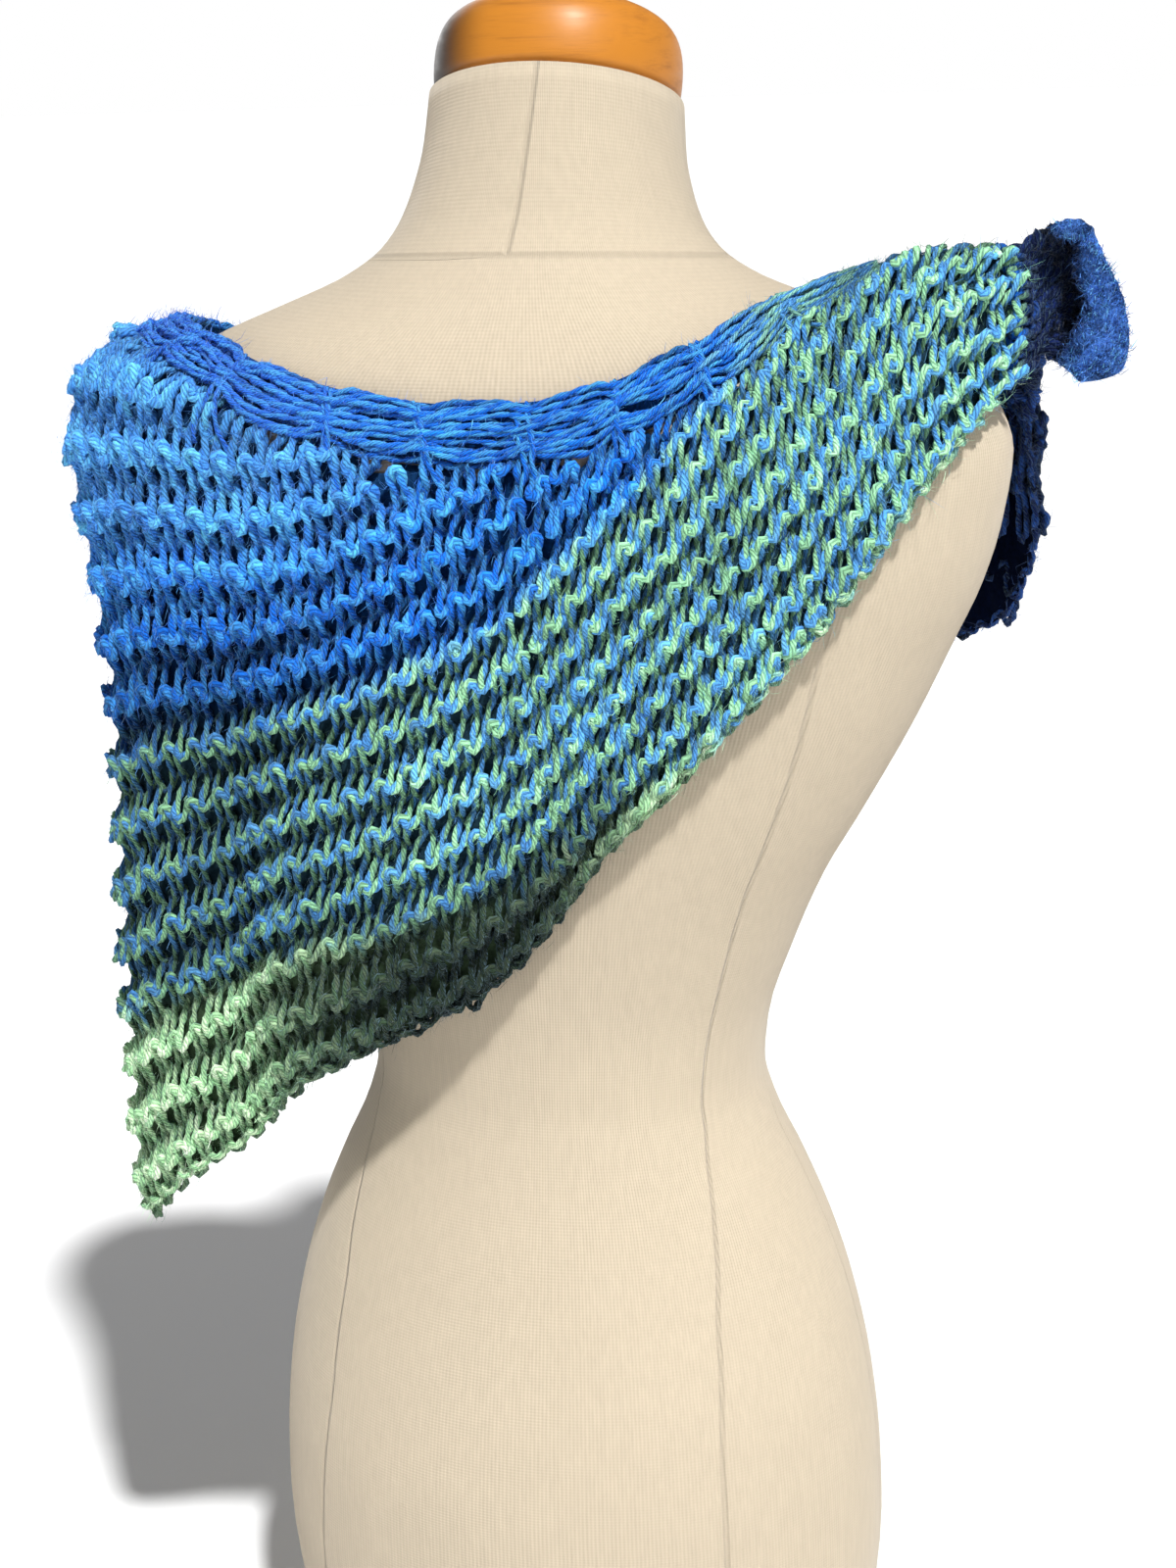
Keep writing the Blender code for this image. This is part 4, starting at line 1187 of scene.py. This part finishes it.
def ties(rows, rng, tubes):
    """Yarn drawn slantwise over the strands at each tie, and down in the panel."""
    d = rows.drape
    first = math.ceil(float(d.at("along", 3.7)) / TIE_SPACING)
    t = np.linspace(0, 1, 24)
    down = np.interp(t, [0, 0.30, 0.86, 1.0], [1.70, 1.02, 0.05, 0.12])
    knots = [0, 0.2, 0.36, 0.6, 0.82, 0.94, 1.0]
    for middle in np.arange(first * TIE_SPACING, d.along[-1] - 0.02, TIE_SPACING):
        slant = 0.011 * rng.uniform(0.5, 1.4)
        for offset, spread, top in ((-0.0015, -0.0070, 0.0080), (0.0022, 0.0075, 0.0066)):
            lifts = [0.0042, 0.0056, top - 0.001, top, 0.0054, 0.0022, 0.0008]
            lift = np.pad(np.interp(t, knots, lifts), 2, mode="edge")
            lift = np.convolve(lift, np.ones(5) / 5, mode="valid")
            along = middle + offset + spread * (1 - ease(0.0, 0.34, t))
            along = along + slant * (t - 0.5) + wavering(rng, t, 0.25, 0.0011)
            station = np.interp(along, d.along, d.station)
            band = down * border_width(station) / d.at("drop", station)
            where, way = d.sample(station, band)
            chance = np.tile(rng.normal(0, 1, 3), (len(t), 1))
            ply_a, ply_b = border_plies(station, chance)
            where = where + way * lift[:, None]
            start = rng.uniform(0, TWIST)
            tubes.add(where, way, STRAND, ply_a * 0.9, ply_b * 0.9, start, 1.5)


def backing_cloth(rows, look):
    """The knit's thin inner cloth, dark with painted shade between the loops, open at the
    eyelets under the neckline edge.
    """
    d = rows.drape
    columns = np.arange(0, d.columns, 2)
    station, length, along = d.station[columns], d.drop[columns], d.along[columns]
    opening = ease(0.70, 0.95, 1 - tie_share(along)) * ease(3.6, 4.8, station)
    wide = border_width(station)
    border_end = np.maximum(wide - 0.0006, 0.0006) / length
    # Each band: its top and low shares, rows, and whether it is the border's.
    bands = (
        ((wide + EYELET * opening) / length, np.ones(len(columns)), 31, False),
        (0.0004 / length, border_end, 5, True),
    )
    points, faces, flat, shaded_tint, bake = [], [], [], [], []
    count = 0
    for top_share, low_share, rows_down, at_border in bands:
        down = np.linspace(0, 1, rows_down)
        share = top_share[:, None] + (low_share - top_share)[:, None] * down[None, :]
        at = np.broadcast_to(station[:, None], share.shape)
        inner, way = d.sample(at, share)
        top = (wide / length)[:, None]
        low, high = d.hem_ridge[columns][:, None], d.neck_ridge[columns][:, None]
        ridge = (low + (1 - share) / (1 - top) * (high - low)).ravel()
        chance = np.zeros((share.size, 3))
        if at_border:
            ply_a, ply_b = border_plies(at.ravel(), chance)
        else:
            ply_a, ply_b = plies_at(ridge, at.ravel(), chance)
        # Painted shade: the sheet is the plies' colour darkened to this share, darker still
        # under the border.
        deep = BACKING_SHADE * (1.75 if at_border else 1.0)
        sides = [(inner + way * BACKING).reshape(-1, 3), inner.reshape(-1, 3)]
        points.extend(sides)
        faces.append(sheet_faces(*share.shape) + count)
        along_rows = np.repeat(along, rows_down)
        flat.append(np.tile(np.column_stack([along_rows, ridge]), (2, 1)))
        shaded_tint.append(np.tile(blend(ply_b, ply_a, 0.3) * deep, (2, 1)))
        low_v, tall_v = (0.90, 0.045) if at_border else (0.0, 0.44)
        bake_u = np.repeat(np.arange(len(columns)) / (len(columns) - 1), rows_down)
        half = np.column_stack([bake_u, np.tile(low_v + tall_v * down, len(columns))])
        bake.append(np.concatenate([half, half + (0, tall_v + 0.005)]))
        count += 2 * share.size
    faces = np.concatenate(faces)
    corners = faces.ravel()
    uvs = {"OFBake": np.concatenate(bake)[corners], "cloth": np.concatenate(flat)[corners]}
    return mesh_from(
        "knit_backing", np.concatenate(points), corners, np.full(len(faces), 4),
        uvs, {"shaded_tint": np.concatenate(shaded_tint)}, look,
    )


def seam_offsets(turn, z):
    """Signed distances in metres to the form's sewn seams, on rings at z."""
    on_neck = z > NECK_SEAM
    lean = np.interp(z, [0.785, 0.853], [-0.0037, 0.0040])
    centre = (turn - math.radians(270.5)) * 0.055 - lean
    neck = (z - NECK_SEAM, np.where(on_neck, centre, 0.05), np.full(turn.shape, 0.02))
    lines = [np.interp(z, SEAM_HEIGHTS, line) for line in (LEFT_SEAM, RIGHT_SEAM)]
    body = [(turn - np.radians(line)) * 0.11 for line in lines]
    first, second = [(turn - np.radians(360 - line)) * 0.11 for line in lines]
    body.append(np.where(np.abs(first) < np.abs(second), first, second))
    body = [np.where(z < 0.72, value, 0.02) for value in body]
    return [np.clip(np.stack(part, axis=-1), -0.02, 0.02) for part in (neck, body)]


def form_shape(look):
    """The dress form's body, finer than its solid, with its sewn seams."""
    table = np.array(FORM_SECTIONS)
    rows = np.linspace(0, len(table) - 1, 99)
    heights = np.interp(rows, np.arange(len(table)), table[:, 0])
    count = 112
    rings = [form_ring(z, count) for z in heights]
    foot = rings[0].copy()
    foot[:, :2] *= 1 - BASE_EDGE / 0.12
    rings[0][:, 2] += BASE_EDGE
    grid = np.stack([foot] + rings)
    n = len(grid)
    turn = np.linspace(0, 2 * math.pi, count, endpoint=False)
    levels = np.concatenate([[0.0], heights])
    neck, body = seam_offsets(*np.broadcast_arrays(turn, levels[:, None]))
    v, step = ring_corners(levels, count)
    around = step.ravel() / count
    bottom = np.arange(count)[::-1]
    top = (n - 1) * count + np.arange(count)
    loops = np.concatenate([ring_quads(n, count).ravel(), bottom, top])
    totals = np.concatenate([np.full((n - 1) * count, 4), [count, count]])
    flat = grid.reshape(-1, 3)
    ends = flat[np.concatenate([bottom, top])][:, :2]
    wales = np.column_stack([around * 2 * math.pi * 0.150, v.ravel()])
    bake = np.column_stack([around, v.ravel() / 0.853 * 0.8])
    small = ends / 0.40 * 0.18 * 0.9
    small[:count] += (0.12, 0.905)
    small[count:] += (0.40, 0.905)
    uvs = {"OFBake": np.concatenate([bake, small]), "wales": np.concatenate([wales, ends])}
    seams = {"seams_neck": neck.reshape(-1, 3), "seams_body": body.reshape(-1, 3)}
    return mesh_from("jersey_form", flat, loops, totals, uvs, seams, look)


def wood_cap(look):
    """Turned cap: a disc drawn up section by section, then smoothed."""
    top, _, _, _, centre, lean = FORM_SECTIONS[-1]
    if bpy.context.object:
        bpy.ops.object.select_all(action="DESELECT")
    low, scale = CAP_SECTIONS[0]
    bpy.ops.mesh.primitive_circle_add(
        vertices=32, radius=scale, fill_type="NGON", location=(0, 0, low)
    )
    made = bpy.context.object
    made.name = "turned_wood_cap"
    bpy.ops.object.mode_set(mode="EDIT")
    bpy.ops.mesh.select_all(action="SELECT")
    for height, wide in CAP_SECTIONS[1:]:
        up = {"value": (0, 0, height - low)}
        bpy.ops.mesh.extrude_region_move(TRANSFORM_OT_translate=up)
        bpy.ops.transform.resize(value=(wide / scale, wide / scale, 1))
        low, scale = height, wide
    bpy.ops.mesh.inset(thickness=0.010)
    bpy.ops.mesh.select_all(action="SELECT")
    bpy.ops.mesh.normals_make_consistent(inside=False)
    bpy.ops.object.mode_set(mode="OBJECT")
    smooth = made.modifiers.new("smooth", "SUBSURF")
    smooth.levels = smooth.render_levels = 2
    bpy.ops.object.modifier_apply(modifier="smooth")
    bpy.ops.object.shade_smooth()
    made.scale = (1, CAP_DEPTH, 1)
    made.rotation_euler = (-math.radians(lean), 0, 0)
    made.location = (0, centre, top)
    bpy.ops.object.transform_apply(location=True, rotation=True, scale=True)
    made.data.materials.append(look)
    return made


def knot_at(y):
    """The knot's half width and height and its middle, at places along it."""
    table = np.array(KNOT_SECTIONS)[::-1]
    return smooth_through(table[:, 0], table[:, 1:], y).T


def round_knot(x, y, z, turn):
    """A path's points, and the ways out of the knot there."""
    way = np.column_stack([np.cos(turn), 0 * turn, np.sin(turn)])
    return np.column_stack([x, y, z]), way


def knot_wraps(drape, rng):
    """The knot: a bundle of strands with two turns of yarn drawn round it."""
    tubes = Tubes()
    along = np.linspace(KNOT_SECTIONS[-1][0] + 0.001, KNOT_SECTIONS[0][0] - 0.001, 40)
    half_x, half_z, middle_x, middle_z = knot_at(along)
    navy, pale = linear(NAVY), linear(NAVY_LIGHT)
    for layer, count in ((0.80, 12), (0.35, 5)):
        for i in range(count):
            turn = 2 * math.pi * i / count + KNOT_TWIST * (along - along[0])
            turn = turn + wavering(rng, along, 0.008, 0.08)
            x = middle_x + (half_x * layer - 0.0006) * np.cos(turn)
            z = middle_z + (half_z * layer - 0.0006) * np.sin(turn)
            size = 0.0030 * (1 + wavering(rng, along, 0.01, 0.05))
            size = size * np.clip(half_x / 0.010, 0.5, 1.0)
            value = 1 + 0.12 * rng.normal()
            plies = pale * value * 0.8, navy * value
            tubes.add(*round_knot(x, along, z, turn), size, *plies, 0.01 * i, 2.0)
    turn = np.linspace(0, 2 * math.pi, 60)
    for start, lean in ((0.0085, 0.004), (0.0145, -0.003)):
        y = start + lean * np.sin(turn)
        hx, hz, mx, mz = knot_at(y)
        x, z = mx + (hx + 0.0008) * np.cos(turn), mz + (hz + 0.0008) * np.sin(turn)
        tubes.add(*round_knot(x, y, z, turn), 0.0027, pale * 0.8, navy, 0.0, 2.0)
    gathers(rng, tubes)
    drawn_in(drape, rng, tubes)
    return tubes


def gathers(rng, tubes):
    """The cloth drawn out of the knot: strands that fan to the flared end."""
    table = np.array(END_ROWS)
    navy = linear(NAVY)
    t = np.linspace(0, 3, 14)
    way = np.tile([0.1, -1.0, 0.2], (len(t), 1))
    for share in np.linspace(0.01, 0.99, 18):
        row = smooth_through(np.arange(len(table)), table, share * (len(table) - 1))
        root, hollow = row[0:3], row[3:6]
        start = np.array([0.2115, -0.0035, 0.757 + 0.0262 * math.cos(math.pi * share)])
        middle = (start + root) / 2 + (0, -0.0015, 0.0012)
        knots = np.array([start, middle, root, root + (hollow - root) * 0.85])
        path = smooth_through(np.arange(4), knots, t) + (0, -0.0012, 0)
        path = path + wander3(rng, t, 0.8, 0.0006)
        size = 0.0035 * (1 + wavering(rng, t, 0.8, 0.10))
        start = rng.uniform(0, TWIST)
        tubes.add(path, way, size, navy * 0.9, navy * 0.45, start, 3.0)


def drawn_in(drape, rng, tubes):
    """The cloth's two ends, gathered from their edges into the knot."""
    navy = linear(NAVY)
    # Each end: its station, the way into the panel, its seat in the knot, plies.
    back_end = (0.0, 0.12, -0.0005, linear(MINT) * 0.45, linear(BLUE) * 0.5)
    front_end = (drape.station[-1], -0.12, 0.0200, linear(NAVY_LIGHT), navy)
    t = np.linspace(0, 3, 9)
    into = ease(0.7, 2.1, t)[:, None]
    for edge, inward, seat, dyed_a, dyed_b in (back_end, front_end):
        hx, hz, mx, mz = knot_at(np.array([seat]))[:, 0]
        ply_a = blend(dyed_a, 0.8 * navy, into)
        ply_b = blend(dyed_b, 0.5 * navy, into)
        station = edge + np.array([inward, 0.0])
        for side, lift, count, size in ((1, 0.0045, 12, 0.0026), (-1, 0.0012, 9, 0.0030)):
            for share in np.linspace(0.03, 0.97, count):
                points, ways = drape.sample(station, np.full(2, share))
                first, second = points + lift * ways
                height = mz + 0.9 * hz * math.cos(math.pi * share)
                end = np.array([mx + 0.6 * side * hx, seat, height])
                knots = np.array([first, second, (second + end) / 2, end])
                path = smooth_through(np.arange(4), knots, t)
                path = path + wander3(rng, t, 0.8, 0.0004)
                way = np.tile(side * ways[1], (len(t), 1))
                radius = size * (1 + wavering(rng, t, 0.8, 0.08))
                tubes.add(path, way, radius, ply_a, ply_b, rng.uniform(0, TWIST), 2.0)


def tail(felt):
    """The flared end: felted cloth, cupped, its rim rolled and uneven."""
    n, m = 64, 44
    at = np.arange(len(END_ROWS))
    rows = np.linspace(0, len(END_ROWS) - 1, n)
    ruled = smooth_through(at, np.array(END_ROWS), rows).reshape(n, 4, 3)
    side = np.abs(np.linspace(-1, 1, n)) ** 5
    share = np.linspace(0, 1, m)[None, :] * (3 - 0.42 * side[:, None])
    sheet = np.array([smooth_through(np.arange(4), r, s) for r, s in zip(ruled, share)])
    normal = np.cross(np.gradient(sheet, axis=0), np.gradient(sheet, axis=1))
    normal /= np.linalg.norm(normal, axis=-1, keepdims=True)
    u = np.linspace(0, 1, n)[:, None]
    v = np.linspace(0, 1, m)[None, :]
    folds = 0.0018 * np.sin(2 * math.pi * (2.6 * u + 0.35 * v)) * ease(0.2, 0.7, v)
    folds = folds - 0.0035 * np.exp(-(((v - 0.42) / 0.16) ** 2)) * np.sin(math.pi * u)
    ribs = 0.0009 * np.sin(2 * math.pi * 5.5 * v + 1.2 * np.sin(9 * u))
    rough = 0.0008 * np.sin(41 * u + 7 * np.sin(23 * v)) * np.sin(37 * v + 5 * u)
    rough = rough + 0.0005 * np.sin(67 * u + 29 * v + 3 * np.sin(31 * u))
    thick = END_THICK * 0.5 * np.sqrt(np.clip(1 - (2 * u - 1) ** 16, 0.02, 1))
    thick = thick * np.sqrt(np.clip(1 - ease(0.90, 1.0, v) ** 3 * 0.93, 0.02, 1))
    middle = sheet + normal * (folds + rough)[..., None]
    front = (middle + normal * (thick + ribs)[..., None]).reshape(-1, 3)
    rear = (middle - normal * (thick - ribs * 0.5)[..., None]).reshape(-1, 3)
    corners = np.roll(sheet_faces(n, m)[:, ::-1], 1, axis=1).ravel()
    bake = np.column_stack([np.repeat(u, m), np.tile(v.ravel() * 0.48, n)])
    bake = np.concatenate([bake, bake + (0, 0.51)])
    # Painted shade: dark in the cupped hollow, full colour at the lip and rim.
    lit = 0.03 + 0.97 * ease(0.52, 0.78, v + 0.16 * (u - 0.25))
    colour = (linear(END_BLUE) * lit[..., None]).reshape(-1, 3)
    made = mesh_from(
        "knot_end", np.concatenate([front, rear]), corners, np.full(len(corners) // 4, 4),
        {"OFBake": bake[corners]}, {"ply": np.tile(colour, (2, 1))}, felt,
    )
    return made, (front, normal.reshape(-1, 3), colour)


def ribbons(name, roots, ways, bends, curls, lengths, sizes, colours, look):
    """Many fine fibres as one mesh: each leaves its root along way and bends."""
    n = len(roots)
    t = np.array([0.0, 0.36, 0.72, 1.0])
    path = roots[:, None] + ways[:, None] * (lengths[:, None] * t)[..., None]
    path = path + bends[:, None] * (lengths[:, None] * t ** 2)[..., None]
    swing = np.sin(math.pi * 1.3 * t)
    path = path + curls[:, None] * (lengths[:, None] * swing)[..., None]
    ahead = np.gradient(path, axis=1)
    side = np.cross(ahead, np.array([0.31, 0.53, 0.79]) + curls[:, None])
    side /= np.linalg.norm(side, axis=-1, keepdims=True) + 1e-12
    width = (sizes[:, None] * np.array([1.0, 0.9, 0.65]))[..., None]
    left = path[:, :3] + side[:, :3] * width
    right = path[:, :3] - side[:, :3] * width
    points = np.concatenate([left, right, path[:, 3:]], axis=1).reshape(-1, 3)
    loops = np.array([0, 3, 4, 1, 1, 4, 5, 2, 2, 5, 6])
    wide = math.ceil(math.sqrt(n))
    cell = np.repeat(np.arange(n), len(loops))
    bake = np.column_stack([(cell % wide + 0.5) / wide, (cell // wide + 0.5) / wide])
    nudge = np.column_stack([np.cos(loops * 0.9), np.sin(loops * 0.9)])
    bake = bake + 0.3 / wide * np.tile(nudge, (n, 1))
    corners = (7 * np.arange(n)[:, None] + loops[None, :]).ravel()
    dyed = {"ply": np.repeat(colours, 7, axis=0)}
    totals = np.tile(np.array([4, 4, 3]), n)
    return mesh_from(name, points, corners, totals, {"OFBake": bake}, dyed, look)


def stray_fibres(name, sources, count, rng, look, end=None):
    """Fibres that leave the plies, most along them, densest where felted.

    end adds those of the knot's flared end: its points, normals and colours."""
    surfaces = [surface for tubes in sources for surface in tubes.surface]
    parts = [np.concatenate(part) for part in zip(*surfaces)]
    fuzz = parts.pop()
    pick = rng.choice(len(fuzz), count, p=fuzz[:, 0] / fuzz.sum())
    middle, side, up, ahead, size, colour = [part[pick] for part in parts]
    angle = rng.normal(math.pi / 2, 0.95, (count, 1))
    out = side * np.cos(angle) + up * np.sin(angle)
    roots = middle + out * size * 0.92
    roots = roots + ahead * rng.uniform(-0.0013, 0.0013, (count, 1))
    ways = out * rng.uniform(0.05, 0.75, (count, 1)) + ahead * rng.normal(0, 0.8, (count, 1))
    ways = ways + rng.normal(0, 0.30, (count, 3))
    light = rng.uniform(0.02, 0.15, (count, 1))
    colours = colour * rng.uniform(0.8, 1.35, (count, 1))
    colours = colours + light * np.array([0.60, 0.90, 1.20])
    lengths = rng.gamma(5.0, 0.00070, count) + 0.0008
    if end is not None:
        points, normals, dyes = end
        pick = rng.integers(0, len(points), END_FIBRES)
        roots = np.concatenate([roots, points[pick]])
        more = normals[pick] * 0.5 + rng.normal(0, 0.7, (END_FIBRES, 3))
        ways = np.concatenate([ways, more])
        glow = rng.choice([0.5, 1.2, 2.4, 4.2], (END_FIBRES, 1), p=[0.25, 0.35, 0.25, 0.15])
        colours = np.concatenate([colours, dyes[pick] * glow + (0.004, 0.010, 0.026)])
        lengths = np.concatenate([lengths, rng.uniform(0.0014, 0.0044, END_FIBRES)])
    total = len(roots)
    ways /= np.linalg.norm(ways, axis=1, keepdims=True)
    bends = rng.normal(0, 0.40, (total, 3))
    curls = rng.normal(0, 0.20, (total, 3))
    lengths = np.minimum(lengths, LONGEST_FIBRE)
    sizes = rng.uniform(0.00007, 0.00015, total)
    sizes[count:] *= 1.5
    colours = np.clip(colours, 0, 1)
    return ribbons(name, roots, ways, bends, curls, lengths, sizes, colours, look)


def main():
    rng = np.random.default_rng(SEED)
    camera()
    lights()
    stage()
    drape = Drape()
    rows = Rows(drape)
    wool = yarn_material()
    fluff = fibre_material()
    yarns = knit_panels(rows, rng)
    yarns["hem_edge"] = hem_cord(rows, rng)
    yarns["neckline_border"] = border_strands(rows, rng)
    yarns["knot_yarn"] = knot_wraps(drape, rng)
    made = {name: tubes.build(name, wool) for name, tubes in yarns.items()}
    end, end_surface = tail(felt_material())
    fibres = []
    for place, pieces, share, surface in (
        ("high", ("knit_back_high", "knit_corner_high", "neckline_border"), 0.84, None),
        ("low", ("knit_back_low", "knit_corner_low", "hem_edge"), 0.72, None),
        ("front", ("knit_front_high", "knit_front_low", "knot_yarn"), 0.42, end_surface),
    ):
        sources, count = [yarns[piece] for piece in pieces], int(FIBRES * share)
        name = f"stray_fibres_{place}"
        fibres.append(stray_fibres(name, sources, count, rng, fluff, surface))
    backing = backing_cloth(rows, cloth_material())
    form = form_shape(jersey_material())
    cap = wood_cap(wood_material())
    trim, knot = made["neckline_border"], made["knot_yarn"]
    soft = [piece for piece in made.values() if piece is not knot] + fibres
    for piece in soft + [backing, form, cap, knot, end]:
        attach(piece, "root")
    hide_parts(*(f"shawl_{name}" for name in ("back", "side", "front")))
    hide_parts(*(f"border_{name}" for name in ("back", "side", "front")))
    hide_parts("form_body")
    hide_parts("neck_cap")
    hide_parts("tie_knot")
    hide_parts("tie_end")


main()
